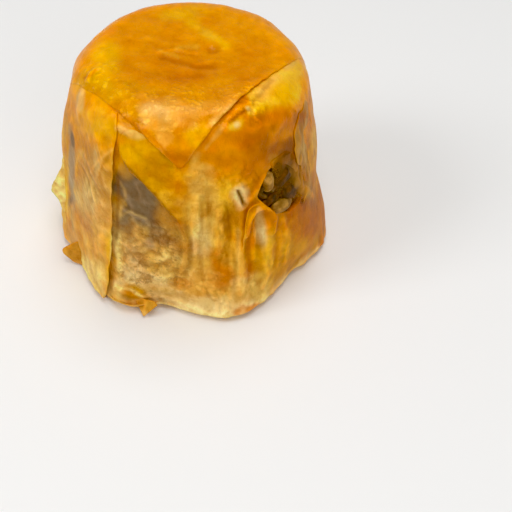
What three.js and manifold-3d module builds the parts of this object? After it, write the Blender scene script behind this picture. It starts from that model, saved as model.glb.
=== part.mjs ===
// A pastry-wrapped pilaf: cooked rice baked inside a drum of thin buttered pastry sheets.
// Millimetres, +Z up. The origin is the centre of the flat base, and the front looks along -Y.
// Places on the drum are given as an angle in degrees round it (0 at the front, growing towards +X)
// with a height on the wall, or with a distance s from the top's centre along the crust.
import * as THREE from 'three';
import { mergeVertices } from 'three/addons/utils/BufferGeometryUtils.js';
import Module from 'manifold-3d';

const wasm = await Module();
wasm.setup();

// Driving sizes of the drum.
const HEIGHT = 85;
const TOP_RADIUS = 44.6;
const BASE_RADIUS = 55;
const SHOULDER_RADIUS = 13.5;
const FOOT_ROUND = 2.5;
const CRUST = 2.6;
const GAP = 0.3;

// The wall is fuller than a straight cone at this height.
const WAIST = { height: 55, out: 1.4, reach: 12 };
// The shoulder is narrower round this angle, fading towards the foot.
const SHOULDER_DIP = { angle: -120, out: -2.7, width: 24 };
// The foot is a soft polygon: it runs out (+) or in (-) round these angles, up to a fading height.
const FOOT_FADE = 42;
const FOOT_LOBES = [
  { angle: 24, out: 3.4, width: 10 },
  { angle: 50, out: -2.2, width: 12 },
  { angle: -5, out: -2.6, width: 8 },
  { angle: -26, out: 2.0, width: 8 },
  { angle: -62, out: -2.9, width: 20 },
  { angle: 92, out: 1.6, width: 14 },
  { angle: 132, out: -1.8, width: 13 },
  { angle: 160, out: 1.8, width: 12 },
  { angle: -150, out: -1.6, width: 12 },
  { angle: -118, out: 1.6, width: 13 },
];
// Shallow hollows and swellings of the crust.
const LUMPS = [
  { angle: 64, height: 24, wide: 17, tall: 13, out: 1.5 },
  { angle: 46, height: 50, wide: 9, tall: 11, out: -0.9 },
  { angle: 12, height: 30, wide: 6, tall: 20, out: -0.7 },
  { angle: -16, height: 42, wide: 9, tall: 15, out: -1.1 },
  { angle: 31, height: 22, wide: 3, tall: 16, out: -1.2 },
  { angle: -64, height: 46, wide: 10, tall: 20, out: -0.8 },
  { angle: -80, height: 52, wide: 13, tall: 13, out: 1.3 },
  { angle: 85, height: 30, wide: 12, tall: 7, out: -1.5 },
  { angle: 120, height: 40, wide: 14, tall: 18, out: -0.9 },
  { angle: -140, height: 36, wide: 15, tall: 20, out: 0.9 },
  { angle: 176, height: 30, wide: 12, tall: 18, out: -0.9 },
];
const DIMPLE = { angle: 22, s: 6, reach: 13, deep: 1.6 };

// The top sheet is a square of pastry laid cornerwise; each corner is [angle, s].
const CAP_CORNERS = [[0, 57], [106, 49], [190, 75], [267, 61]];
const CAP = { lift: 0.6, edgeLift: 1.3, edgeReach: 9, cornerRound: 34, rings: 12 };
// Wall sheets thin out under the cap, between these heights.
const UNDER_CAP = { from: 66, to: 78, keep: 0.25 };

// Wall sheets: the free edge shows and stands off the wall by edge, easing into it over reach.
// The rest of the outline is tucked away. Points are [angle, height].
const WALL_SHEETS = {
  front: {
    edge: 1.2,
    reach: 22,
    free: [[-15, 77], [-19, 78.4], [-23, 79], [-26.5, 77.4], [-28.8, 73.6], [-29, 68], [-27, 64.2], [-20, 59],
      [-12.4, 54], [-5.3, 48.3], [-1, 44], [1.6, 39], [2.2, 33], [0.4, 26], [-2.5, 19], [-5, 13], [-6.2, 8.6],
      [0, 7.2], [8, 3.6], [18, 0.6]],
    tucked: [[27, 0.6], [25, 30], [24, 60], [20, 81], [-8, 82]],
  },
  leftWrap: {
    edge: 1.6,
    reach: 30,
    free: [[-30.6, 77], [-30, 66], [-29.6, 50], [-29.7, 34], [-30.2, 20], [-31, 10], [-33, 2.2]],
    tucked: [[-60, 0.6], [-96, 0.6], [-98, 30], [-97, 74], [-60, 82], [-34, 81]],
  },
  right: {
    edge: 1.1,
    reach: 26,
    free: [[70, 73.5], [66, 72.4], [62.6, 68], [60.6, 62.5], [60.4, 56], [64.6, 47], [71.3, 39.6], [81.3, 30],
      [93, 22], [108, 14], [124, 9]],
    tucked: [[140, 9], [146, 40], [142, 80], [100, 82], [80, 81]],
  },
  arch: {
    edge: 1.7,
    reach: 9,
    free: [[25.6, 34], [26, 42], [27.4, 47.4], [30, 49.9], [33.4, 50.1], [36.8, 48.4], [39.7, 45.2],
      [41.4, 40], [40.4, 36.5], [40.8, 29.4], [41.6, 20]],
    tucked: [[41, 8], [34, 4], [27, 6], [25.4, 20]],
  },
  backLeft: {
    edge: 1.4,
    reach: 28,
    free: [[-104, 76], [-106, 60], [-105, 44], [-107, 28], [-109, 12], [-111, 2.2]],
    tucked: [[-140, 0.6], [-172, 0.6], [-176, 40], [-172, 72], [-140, 82], [-110, 81]],
  },
  backRight: {
    edge: 1.3,
    reach: 26,
    free: [[149, 77], [151, 62], [154, 44], [152, 28], [150, 14], [149, 2.2]],
    tucked: [[172, 0.6], [196, 0.6], [200, 40], [196, 70], [172, 82], [154, 81]],
  },
};

// The hole in the right wall, where the filling shows.
const TEAR = [[34.6, 51.8], [36, 54.6], [38.4, 58.6], [42.5, 60.6], [48.5, 60.6], [54, 57.4], [58.5, 50.6],
  [60.4, 43.6], [59, 38.4], [53.5, 37.4], [47.2, 38.6], [43, 41.4], [40.6, 45.4], [38, 49.2]];
const TEAR_INSET = 0.55;
const FILLING_BELOW = 0.9;

// Loose corners and hems that stand off the wall.
// The plates' points are [radius, height]; a plate can turn about its root, away from the radius.
const FIN = {
  angle: -83,
  thick: 1,
  turn: 0,
  points: [[47, 38], [51.2, 34], [53.4, 27], [56.4, 23], [53.6, 18], [51.6, 9], [47, 5]],
};
const FLAP = {
  angle: -62,
  thick: 1.1,
  turn: 62,
  points: [[46, 16], [51.6, 14.5], [56, 9], [53.6, 1.2], [46, 0.6]],
};
const POINT_FLAP = { angle: -14.5, thick: 1.1, width: 9, tall: 9.5, out: 53.2, clear: 0.4, lean: -24 };
const LIP = {
  from: -32,
  to: -7.5,
  thick: 1.1,
  foot: 0.8,
  rim: 5.4,
  rimEnds: 0.75,
  out: 3.4,
  root: -3.5,
  footShare: 0.5,
  columns: 16,
  rows: 4,
};

// What shows in the hole: two pale nuts, dried fruit and grains of rice, by half their sizes.
const NUTS = [
  { angle: 41.6, height: 54.2, long: 5.2, wide: 3.3, thick: 2.6, tilt: 84 },
  { angle: 47.8, height: 42.0, long: 5.9, wide: 3.0, thick: 2.5, tilt: -14 },
];
const FRUIT = [
  { angle: 49.6, height: 53.0, long: 5.6, wide: 4.4, thick: 3.0, tilt: 35 },
  { angle: 53.6, height: 45.8, long: 4.6, wide: 3.6, thick: 2.8, tilt: -50 },
  { angle: 42.6, height: 47.6, long: 4.0, wide: 3.2, thick: 2.6, tilt: 10 },
];
const GRAIN = { long: 3.1, thick: 0.85, tries: 420, most: 34, apart: 2.4, sunk: 0.2 };
const SEED = 20;

// Grid resolution.
const COLUMNS = 84;
const ROWS = { flat: 4, shoulder: 4, wall: 15, foot: 2, base: 1 };
const CORE_COLUMNS = 36;
const CORE_ROWS = { flat: 2, shoulder: 2, wall: 5, foot: 1, base: 1 };
const CUTTER_NEAR = 30;
const CUTTER_FAR = 120;
const CUTTER_STEP = 4;

const radians = THREE.MathUtils.degToRad;
const MM_PER_DEGREE = radians(1) * TOP_RADIUS;
const smooth = (x, from, to) => THREE.MathUtils.smoothstep(x, from, to);
const bell = (distance, reach) => Math.exp(-0.5 * (distance / reach) ** 2);
const turnBetween = (a, b) => THREE.MathUtils.euclideanModulo(a - b + 180, 360) - 180;

// The crust's profile, from the top's centre outwards and down: where it is and which way it faces.
const FLAT = TOP_RADIUS - SHOULDER_RADIUS;
const LEAN = Math.atan2(BASE_RADIUS - TOP_RADIUS, HEIGHT - SHOULDER_RADIUS);
const SHOULDER_TURN = Math.PI / 2 - LEAN;
const WALL_TOP = new THREE.Vector2(
  FLAT + SHOULDER_RADIUS * Math.sin(SHOULDER_TURN),
  HEIGHT - SHOULDER_RADIUS + SHOULDER_RADIUS * Math.cos(SHOULDER_TURN),
);
const WALL_END = new THREE.Vector2(BASE_RADIUS, FOOT_ROUND);
const WALL_LENGTH = WALL_TOP.distanceTo(WALL_END);
const S_WALL = FLAT + SHOULDER_RADIUS * SHOULDER_TURN;
const S_FOOT = S_WALL + WALL_LENGTH;
const S_BASE = S_FOOT + FOOT_ROUND * Math.PI / 2;
const S_END = S_BASE + BASE_RADIUS - FOOT_ROUND;

function profile(s) {
  if (s <= FLAT) return { r: s, z: HEIGHT, out: 0, up: 1 };
  if (s <= S_WALL) {
    const t = (s - FLAT) / SHOULDER_RADIUS;
    const r = FLAT + SHOULDER_RADIUS * Math.sin(t);
    return { r, z: HEIGHT - SHOULDER_RADIUS * (1 - Math.cos(t)), out: Math.sin(t), up: Math.cos(t) };
  }
  if (s <= S_FOOT) {
    const p = WALL_TOP.clone().lerp(WALL_END, (s - S_WALL) / WALL_LENGTH);
    return { r: p.x, z: p.y, out: Math.cos(LEAN), up: Math.sin(LEAN) };
  }
  if (s <= S_BASE) {
    const t = (s - S_FOOT) / FOOT_ROUND;
    const r = BASE_RADIUS - FOOT_ROUND * (1 - Math.cos(t));
    return { r, z: FOOT_ROUND * (1 - Math.sin(t)), out: Math.cos(t), up: -Math.sin(t) };
  }
  return { r: S_END - s, z: 0, out: 0, up: -1 };
}

// Distance s of a height on the shoulder or the wall.
function sAtHeight(z) {
  if (z >= WALL_TOP.y) return FLAT + SHOULDER_RADIUS * Math.acos(1 - (HEIGHT - z) / SHOULDER_RADIUS);
  return S_WALL + WALL_LENGTH * (WALL_TOP.y - z) / (WALL_TOP.y - WALL_END.y);
}

// How far the wall stands out of the straight cone.
function bulge(angle, z) {
  const foot = FOOT_LOBES.reduce((sum, l) => sum + l.out * bell(turnBetween(angle, l.angle), l.width), 0);
  const shoulder = SHOULDER_DIP.out * bell(turnBetween(angle, SHOULDER_DIP.angle), SHOULDER_DIP.width);
  return WAIST.out * bell(z - WAIST.height, WAIST.reach) + foot * (1 - smooth(z, 0, FOOT_FADE))
    + shoulder * smooth(z, 0, HEIGHT);
}

// Swellings and hollows, measured along the crust's normal.
function relief(angle, s, z) {
  const dx = s * Math.sin(radians(angle)) - DIMPLE.s * Math.sin(radians(DIMPLE.angle));
  const dy = s * Math.cos(radians(angle)) - DIMPLE.s * Math.cos(radians(DIMPLE.angle));
  const dimple = DIMPLE.deep * bell(Math.hypot(dx, dy), DIMPLE.reach);
  const lumps = LUMPS.reduce((sum, l) => (
    sum + l.out * bell(turnBetween(angle, l.angle), l.wide) * bell(z - l.height, l.tall)), 0);
  return lumps * smooth(s, FLAT, S_WALL) - dimple;
}

// The point of the crust at an angle and a distance s, lifted off it along its normal.
function surface(angle, s, lift) {
  const p = profile(s);
  const shape = smooth(s, FLAT, S_WALL) * Math.min(1, p.r / (BASE_RADIUS - FOOT_ROUND));
  const onBase = s >= S_BASE;
  const off = lift + (onBase ? 0 : relief(angle, s, p.z));
  const r = Math.max(0, p.r + bulge(angle, p.z) * shape + p.out * off);
  const t = radians(angle);
  return new THREE.Vector3(r * Math.sin(t), -r * Math.cos(t), Math.max(0, p.z + p.up * off));
}

// Turns points and faces into a solid, with shared corners merged and flat slivers left out.
function solid(points, faces) {
  const geometry = new THREE.BufferGeometry().setFromPoints(points);
  geometry.setIndex(faces.flat());
  return solidOf(geometry);
}

function solidOf(source) {
  const geometry = source.clone();
  geometry.deleteAttribute('normal');
  geometry.deleteAttribute('uv');
  const merged = mergeVertices(geometry, 1e-4);
  const triangles = [];
  const index = merged.index.array;
  for (let i = 0; i < index.length; i += 3) {
    const [a, b, c] = index.slice(i, i + 3);
    if (a !== b && b !== c && c !== a) triangles.push(a, b, c);
  }
  const vertProperties = new Float32Array(merged.attributes.position.array);
  const triVerts = new Uint32Array(triangles);
  return new wasm.Manifold(new wasm.Mesh({ numProp: 3, vertProperties, triVerts }));
}

// A grid of quads as triangles; point(i, j) gives a corner's index, i round the drum and j down it.
function quads(columns, rows, point, flip = false) {
  const faces = [];
  for (let i = 0; i < columns; i += 1) {
    for (let j = 0; j < rows; j += 1) {
      const [a, b, c, d] = [point(i, j), point(i, j + 1), point(i + 1, j + 1), point(i + 1, j)];
      faces.push(flip ? [a, c, b] : [a, b, c], flip ? [a, d, c] : [a, c, d]);
    }
  }
  return faces;
}

function stations(rows) {
  const spans = [[0, FLAT, rows.flat], [FLAT, S_WALL, rows.shoulder], [S_WALL, S_FOOT, rows.wall],
    [S_FOOT, S_BASE, rows.foot], [S_BASE, S_END, rows.base]];
  const list = [0];
  for (const [from, to, count] of spans) {
    for (let k = 1; k <= count; k += 1) list.push(from + (to - from) * k / count);
  }
  return list;
}

// The whole drum with its surface lifted by a function of angle and s.
function drum(columns, rows, lift) {
  const steps = stations(rows);
  const points = [];
  for (let i = 0; i < columns; i += 1) {
    const angle = 360 * i / columns;
    steps.forEach((s, j) => {
      const pole = j === 0 || j === steps.length - 1;
      points.push(surface(angle, s, lift(pole ? 0 : angle, s)));
    });
  }
  const point = (i, j) => (i % columns) * steps.length + j;
  return solid(points, quads(columns, steps.length - 1, point));
}

// Distance from a place on the wall to a line of [angle, height] points, in millimetres.
function distanceToLine(angle, z, line) {
  const flatten = ([a, h]) => new THREE.Vector2(turnBetween(a, angle) * MM_PER_DEGREE, h - z);
  let nearest = Infinity;
  for (let i = 1; i < line.length; i += 1) {
    const a = flatten(line[i - 1]);
    const b = flatten(line[i]);
    const along = b.clone().sub(a);
    const t = THREE.MathUtils.clamp(-a.dot(along) / along.lengthSq(), 0, 1);
    nearest = Math.min(nearest, a.addScaledVector(along, t).length());
  }
  return nearest;
}

// A radial prism over an outline of [angle, height] points, to cut one sheet or the hole.
function cutter(outline) {
  const fine = [];
  outline.forEach(([a, z], i) => {
    const [a2, z2] = outline[(i + 1) % outline.length];
    const pieces = Math.max(1, Math.ceil(Math.abs(a2 - a) / CUTTER_STEP));
    for (let k = 0; k < pieces; k += 1) fine.push([a + (a2 - a) * k / pieces, z + (z2 - z) * k / pieces]);
  });
  const flat = fine.map(([a, z]) => new THREE.Vector2(a, z));
  const order = THREE.ShapeUtils.isClockWise(flat) ? [...fine].reverse() : fine;
  const flatOrder = order.map(([a, z]) => new THREE.Vector2(a, z));
  const count = order.length;
  const ring = (r) => order.map(([a, z]) => (
    new THREE.Vector3(r * Math.sin(radians(a)), -r * Math.cos(radians(a)), z)));
  const points = [...ring(CUTTER_NEAR), ...ring(CUTTER_FAR)];
  const faces = [];
  for (const [a, b, c] of THREE.ShapeUtils.triangulateShape(flatOrder, [])) {
    faces.push([count + a, count + b, count + c], [a, c, b]);
  }
  for (let i = 0; i < count; i += 1) {
    const next = (i + 1) % count;
    faces.push([i, next, count + next], [i, count + next, count + i]);
  }
  return solid(points, faces);
}

// The cap's edge: distance s at an angle, from the straight sides of the square, with its corners eased.
function capEdge(angle) {
  const towards = (a) => new THREE.Vector2(Math.sin(radians(a)), Math.cos(radians(a)));
  const corners = CAP_CORNERS.map(([a, s]) => towards(a).multiplyScalar(s));
  const ray = towards(angle);
  let sum = 0;
  corners.forEach((corner, i) => {
    const side = corners[(i + 1) % corners.length].clone().sub(corner);
    const normal = new THREE.Vector2(-side.y, side.x).normalize();
    const facing = ray.dot(normal) / corner.dot(normal);
    if (facing > 0) sum += facing ** CAP.cornerRound;
  });
  return sum ** (-1 / CAP.cornerRound);
}

// The square top sheet, folded down over the shoulder, a little raised along its edge.
function cap() {
  const points = [];
  for (const buried of [false, true]) {
    for (let i = 0; i < COLUMNS; i += 1) {
      const angle = 360 * i / COLUMNS;
      const edge = capEdge(angle);
      for (let j = 0; j <= CAP.rings; j += 1) {
        const s = edge * j / CAP.rings;
        const rise = CAP.lift + (CAP.edgeLift - CAP.lift) * (1 - smooth(edge - s, 0, CAP.edgeReach));
        points.push(surface(angle, s, buried ? -CRUST / 2 : rise));
      }
    }
  }
  const half = COLUMNS * (CAP.rings + 1);
  const top = (i, j) => (i % COLUMNS) * (CAP.rings + 1) + j;
  const under = (i, j) => half + top(i, j);
  const rim = (i, j) => (j === 0 ? top(i, CAP.rings) : under(i, CAP.rings));
  return solid(points, [...quads(COLUMNS, CAP.rings, top), ...quads(COLUMNS, CAP.rings, under, true),
    ...quads(COLUMNS, 1, rim)]);
}

// One wall sheet: a raised skin of the drum, trimmed to its outline.
function wallSheet({ free, tucked, edge, reach }) {
  const raised = drum(COLUMNS, ROWS, (angle, s) => {
    const z = profile(s).z;
    const near = 1 - smooth(distanceToLine(angle, z, free), 0, reach);
    const open = 1 - (1 - UNDER_CAP.keep) * smooth(z, UNDER_CAP.from, UNDER_CAP.to);
    return -CRUST / 4 + (edge * open + CRUST / 4) * near;
  });
  return raised.intersect(cutter([...free, ...tucked]));
}

// A thin upright plate with an outline of [radius, height] points, standing out at an angle.
function plate({ angle, thick, turn, points }) {
  const outline = new THREE.Shape(points.map(([r, z]) => new THREE.Vector2(r, z)));
  const geometry = new THREE.ExtrudeGeometry(outline, { depth: thick, bevelEnabled: false });
  geometry.translate(0, 0, -thick / 2);
  geometry.rotateX(Math.PI / 2);
  const root = points[0][0];
  geometry.translate(-root, 0, 0);
  geometry.rotateZ(radians(turn));
  geometry.translate(root, 0, 0);
  geometry.rotateZ(radians(angle - 90));
  return solidOf(geometry);
}

// The turned-out lip under the front hem: a thin wall that leaves the foot and leans outwards.
function lip() {
  const { columns, rows } = LIP;
  const points = [];
  for (const shift of [0, -LIP.thick]) {
    for (let i = 0; i <= columns; i += 1) {
      const u = i / columns;
      const angle = LIP.from + (LIP.to - LIP.from) * u;
      const swell = Math.sqrt(Math.sin(Math.PI * u));
      for (let j = 0; j <= rows; j += 1) {
        const v = j / rows;
        const rim = LIP.rim * (LIP.rimEnds + (1 - LIP.rimEnds) * swell);
        const z = rim + (LIP.foot - rim) * v;
        const out = LIP.root + (LIP.out - LIP.root) * swell * (1 - LIP.footShare * v) + shift;
        points.push(surface(angle, sAtHeight(z), out));
      }
    }
  }
  const half = (columns + 1) * (rows + 1);
  const outer = (i, j) => i * (rows + 1) + j;
  const inner = (i, j) => half + outer(i, j);
  const rim = (i, j) => (j === 0 ? inner(i, 0) : outer(i, 0));
  const foot = (i, j) => (j === 0 ? outer(i, rows) : inner(i, rows));
  const start = (i, j) => (i === 0 ? inner(0, j) : outer(0, j));
  const end = (i, j) => (i === 0 ? outer(columns, j) : inner(columns, j));
  return solid(points, [...quads(columns, rows, outer), ...quads(columns, rows, inner, true),
    ...quads(columns, 1, rim), ...quads(columns, 1, foot), ...quads(1, rows, start), ...quads(1, rows, end)]);
}

// A small pointed flap that hangs below the lip: a triangle with its point down and out.
function pointFlap() {
  const { angle, thick, width, tall, out, clear, lean } = POINT_FLAP;
  const geometry = new THREE.ConeGeometry(width / 2, tall, 4);
  geometry.scale(1, -1, thick / width * 2);
  geometry.index.array.reverse();
  geometry.rotateX(Math.PI / 2 + radians(lean));
  geometry.translate(0, -out, tall / 2 + clear);
  geometry.rotateZ(radians(angle));
  return solidOf(geometry);
}

// A nut, a piece of fruit or a grain: a few-sided egg lying against the filling.
function morsel({ angle, height, tilt, long, wide, thick, out = 0 }, detail = 1) {
  const geometry = new THREE.IcosahedronGeometry(1, detail);
  geometry.scale(long, thick, wide);
  geometry.rotateY(radians(-tilt));
  geometry.rotateZ(radians(angle));
  const place = surface(angle, sAtHeight(height), -FILLING_BELOW + out);
  geometry.translate(place.x, place.y, place.z);
  return solidOf(geometry);
}

function centreOf(outline) {
  const sum = outline.reduce(([a, z], [a2, z2]) => [a + a2, z + z2], [0, 0]);
  return sum.map((total) => total / outline.length);
}

// The outline drawn in towards its centre by a distance in millimetres.
function drawnIn(outline, inset) {
  const [ca, cz] = centreOf(outline);
  return outline.map(([a, z]) => {
    const reach = Math.hypot((a - ca) * MM_PER_DEGREE, z - cz);
    const keep = 1 - inset / reach;
    return [ca + (a - ca) * keep, cz + (z - cz) * keep];
  });
}

function inside(angle, z, outline) {
  let within = false;
  outline.forEach(([a, h], i) => {
    const [a2, h2] = outline[(i + 1) % outline.length];
    if ((h > z) !== (h2 > z) && angle < (a2 - a) * (z - h) / (h2 - h) + a) within = !within;
  });
  return within;
}

function seededRandom(seed) {
  let state = seed;
  return () => {
    state = (state * 1664525 + 1013904223) % 4294967296;
    return state / 4294967296;
  };
}

// Grains of rice scattered over the filling that shows, each wholly inside the hole.
function grains() {
  const random = seededRandom(SEED);
  const room = drawnIn(TEAR, TEAR_INSET + 1);
  const span = (axis) => {
    const values = room.map((point) => point[axis]);
    return [Math.min(...values), Math.max(...values)];
  };
  const [angles, heights] = [span(0), span(1)];
  const placed = [];
  for (let i = 0; i < GRAIN.tries && placed.length < GRAIN.most; i += 1) {
    const angle = THREE.MathUtils.lerp(...angles, random());
    const height = THREE.MathUtils.lerp(...heights, random());
    const tilt = 180 * random();
    const da = Math.cos(radians(tilt)) * GRAIN.long / MM_PER_DEGREE;
    const dz = Math.sin(radians(tilt)) * GRAIN.long;
    const fits = inside(angle + da, height + dz, room) && inside(angle - da, height - dz, room);
    const clear = placed.every((g) => (
      Math.hypot((g.angle - angle) * MM_PER_DEGREE, g.height - height) > GRAIN.apart));
    if (fits && clear) placed.push({ angle, height, tilt });
  }
  const { long, thick, sunk } = GRAIN;
  return placed.map((place) => morsel({ ...place, long, wide: thick, thick, out: thick - sunk }, 0));
}

const joined = (pieces) => pieces.reduce((whole, piece) => whole.add(piece));
// The body without the tiny hollows that touching pieces seal between them.
const filled = (body) => body.decompose().find((part) => part.volume() > body.volume() / 2);

function pastry() {
  const outside = joined([drum(COLUMNS, ROWS, () => 0), ...Object.values(WALL_SHEETS).map(wallSheet), cap(),
    plate(FIN), plate(FLAP), lip(), pointFlap()]);
  const hollow = drum(CORE_COLUMNS, CORE_ROWS, () => -CRUST);
  return outside.subtract(hollow).subtract(cutter(TEAR));
}

function pilaf() {
  const core = drum(CORE_COLUMNS, CORE_ROWS, () => -CRUST - GAP);
  const face = drum(COLUMNS, ROWS, () => -FILLING_BELOW);
  const morsels = [...NUTS, ...FRUIT].map((piece) => morsel(piece));
  const showing = joined([face, ...morsels, ...grains()]).intersect(cutter(drawnIn(TEAR, TEAR_INSET)));
  return filled(core.add(showing));
}

function mesh(name, body, color, roughness) {
  const { vertProperties, triVerts } = body.getMesh();
  const geometry = new THREE.BufferGeometry();
  geometry.setAttribute('position', new THREE.BufferAttribute(new Float32Array(vertProperties), 3));
  geometry.setIndex(new THREE.BufferAttribute(new Uint32Array(triVerts), 1));
  geometry.computeVertexNormals();
  const made = new THREE.Mesh(geometry, new THREE.MeshStandardMaterial({ color, roughness, metalness: 0 }));
  made.name = name;
  return made;
}

const group = new THREE.Group();
group.add(mesh('pastry', pastry(), 0xd9921f, 0.4));
group.add(mesh('pilaf', pilaf(), 0x6b4522, 0.6));

export default group;
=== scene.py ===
"""Pastry-wrapped pilaf: a drum of rice baked in thin buttered pastry sheets.

Lengths are millimetres until a mesh is made, and metres in the mesh. A place on the drum is an angle in
degrees (0 at the front, growing towards +X) with a height on the wall, or with the distance s from the top's
centre along the crust. The wall's flat map has the angle in millimetres across and minus s upwards. A place
in the picture is (x, y) in its 512 x 512 frame.
"""
import itertools
import logging
import math
from dataclasses import dataclass, field, replace
from enum import Enum
from typing import Callable, Sequence

import bpy
import numpy as np
from mathutils import Matrix, Vector
from mathutils.geometry import delaunay_2d_cdt


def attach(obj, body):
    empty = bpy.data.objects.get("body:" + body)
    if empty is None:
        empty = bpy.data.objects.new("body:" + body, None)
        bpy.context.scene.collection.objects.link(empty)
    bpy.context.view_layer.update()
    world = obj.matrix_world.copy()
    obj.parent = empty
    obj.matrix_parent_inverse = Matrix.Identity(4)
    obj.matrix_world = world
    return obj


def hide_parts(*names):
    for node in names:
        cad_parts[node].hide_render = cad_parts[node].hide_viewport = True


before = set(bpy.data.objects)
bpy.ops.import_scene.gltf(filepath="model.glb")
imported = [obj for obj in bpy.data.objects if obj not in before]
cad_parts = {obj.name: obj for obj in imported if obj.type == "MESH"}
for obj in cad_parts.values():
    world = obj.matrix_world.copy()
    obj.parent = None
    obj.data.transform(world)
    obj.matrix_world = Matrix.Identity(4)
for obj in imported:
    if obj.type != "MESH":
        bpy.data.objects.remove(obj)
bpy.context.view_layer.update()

log = logging.getLogger("pilaf")
Array = np.ndarray
Pair = tuple[float, float]
Triple = tuple[float, float, float]
Colour = tuple[int, int, int]
Faces = list[tuple[int, ...]]

MM = 0.001
MM_PER_DEGREE = 0.87
FLOOR_GAP = 0.05
HASH_FACTORS = (374761393, 668265263, 1103515245)
HASH_SEED_FACTOR = 974634777
HASH_MIX = 1274126177
HASH_SHIFTS = (13, 16)
HASH_WORD = 0xFFFFFFFF
HASH_FRACTION = 0xFFFFFF
OCTAVE_SHIFT = 17.3
FOLD_SHARPNESS = 3
FOLD_MEAN = 0.3
RIM_WIDTH = 0.7
SHORTEST = 1e-9


def smooth(x: Array, low: float, high: float) -> Array:
    """Smooth step from 0 at low to 1 at high."""
    t = np.clip((x - low) / (high - low), 0, 1)
    return t * t * (3 - 2 * t)


def bell(x: Array, reach: float) -> Array:
    """Bell curve of x, 1 at 0."""
    return np.exp(-0.5 * (x / reach) ** 2)


def turn_between(a: Array, b: float) -> Array:
    """Angle from b to a in degrees, between -180 and 180."""
    return (a - b + 180) % 360 - 180


def around(radius: Array, degrees: Array, height: Array) -> Array:
    """Points at a radius, an angle and a height of the drum."""
    t = np.radians(degrees)
    return np.column_stack([radius * np.sin(t), -radius * np.cos(t), height])


def facing_out(out: Array, across: Array, height: Array, degrees: float) -> Array:
    """Points of a piece at an angle of the drum, by how far out, across and up they are."""
    a = math.radians(degrees)
    x = out * math.sin(a) + across * math.cos(a)
    y = -out * math.cos(a) + across * math.sin(a)
    return np.column_stack([x, y, height])


def linear(rgb: Sequence[float]) -> Array:
    """Linear colour of an 8-bit display colour."""
    c = np.asarray(rgb, float) / 255
    return np.where(c <= 0.04045, c / 12.92, ((c + 0.055) / 1.055) ** 2.4)


def noise(points: Array, size: float | Triple, seed: int, octaves: int = 1) -> Array:
    """Seeded value noise over space.

    Args:
        points: N x 3 places in millimetres.
        size: width of its coarsest features, one for each axis or one for all.
        seed: another seed gives another pattern.
        octaves: how many times finer detail is added.

    Returns:
        N values from about -1 to 1.
    """
    total = np.zeros(len(points))
    fx, fy, fz = HASH_FACTORS
    first, second = HASH_SHIFTS
    for octave in range(octaves):
        q = points / np.asarray(size, float) * 2**octave + OCTAVE_SHIFT * octave
        cell = np.floor(q).astype(np.int64)
        f = q - cell
        f = f * f * (3 - 2 * f)
        for corner in itertools.product((0, 1), repeat=3):
            c = cell + corner
            h = (c[:, 0] * fx + c[:, 1] * fy + c[:, 2] * fz + seed * HASH_SEED_FACTOR) & HASH_WORD
            h = ((h ^ (h >> first)) * HASH_MIX) & HASH_WORD
            value = ((h ^ (h >> second)) & HASH_FRACTION) / HASH_FRACTION * 2 - 1
            weight = np.prod(np.where(corner, f, 1 - f), axis=1)
            total += value * weight * 0.5**octave
    return total


def flat_noise(flat: Array, size: float, seed: int, octaves: int = 2, level: float = 0.0) -> Array:
    """Noise over the places of a flat map; another level gives another pattern."""
    return noise(np.column_stack([flat, np.full(len(flat), level)]), size, seed, octaves)


def sharp_folds(points: Array, size: Triple, seed: int) -> Array:
    """Narrow ridges between wide hollows, about 0 on average."""
    return (1 - np.abs(noise(points, size, seed, 3))) ** FOLD_SHARPNESS - FOLD_MEAN


def distance_to_line(points: Array, line: Array) -> Array:
    """Distance from each point to a broken line.

    Args:
        points: N x D places.
        line: M x D corners of the line.

    Returns:
        N distances.
    """
    best = np.full(len(points), np.inf)
    for a, b in zip(line[:-1], line[1:]):
        along = b - a
        t = np.clip((points - a) @ along / max(along @ along, SHORTEST), 0, 1)
        best = np.minimum(best, np.linalg.norm(points - a - t[:, None] * along, axis=1))
    return best


def link_object(name: str, data: bpy.types.ID) -> bpy.types.Object:
    """Adds an object with the given data to the scene."""
    made = bpy.data.objects.new(name, data)
    bpy.context.scene.collection.objects.link(made)
    return made


def write_attribute(data: bpy.types.Mesh, name: str, values: Array) -> None:
    """Keeps a number, or a colour with its alpha, for each point of a mesh."""
    kind, key = ("FLOAT", "value") if values.ndim == 1 else ("FLOAT_COLOR", "color")
    data.attributes.new(name, kind, "POINT").data.foreach_set(key, values.astype(np.float32).ravel())


@dataclass(frozen=True)
class Lobe:
    """A place where the wall runs out or in, round the drum."""

    angle: float
    out: float
    width: float

    def at(self, a: Array) -> Array:
        """How far it runs out at each angle."""
        return self.out * bell(turn_between(a, self.angle), self.width)


@dataclass(frozen=True)
class Lump:
    """A shallow swelling or hollow of the wall."""

    angle: float
    height: float
    wide: float
    tall: float
    out: float

    def at(self, a: Array, z: Array) -> Array:
        """How far it stands out at each angle and height."""
        return self.out * bell(turn_between(a, self.angle), self.wide) * bell(z - self.height, self.tall)


@dataclass(frozen=True)
class Dimple:
    """A round hollow of the top, whose centre is at a distance s from the top's centre."""

    angle: float
    s: float
    reach: float
    deep: float


@dataclass(frozen=True)
class Grain:
    """Fine bumps: how far they stand out, how wide they are, and the seed and octaves of their noise."""

    out: float
    size: float | Triple
    seed: int
    octaves: int = 2

    def pattern(self, points: Array) -> Array:
        """The bumps' noise, from about -1 to 1."""
        return noise(points, self.size, self.seed, self.octaves)

    def at(self, points: Array) -> Array:
        """The bumps' heights."""
        return self.out * self.pattern(points)


@dataclass(frozen=True)
class Crease:
    """A ridge or groove along a line that is seen in the picture."""

    path: Sequence[Pair]
    out: float
    width: float


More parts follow.
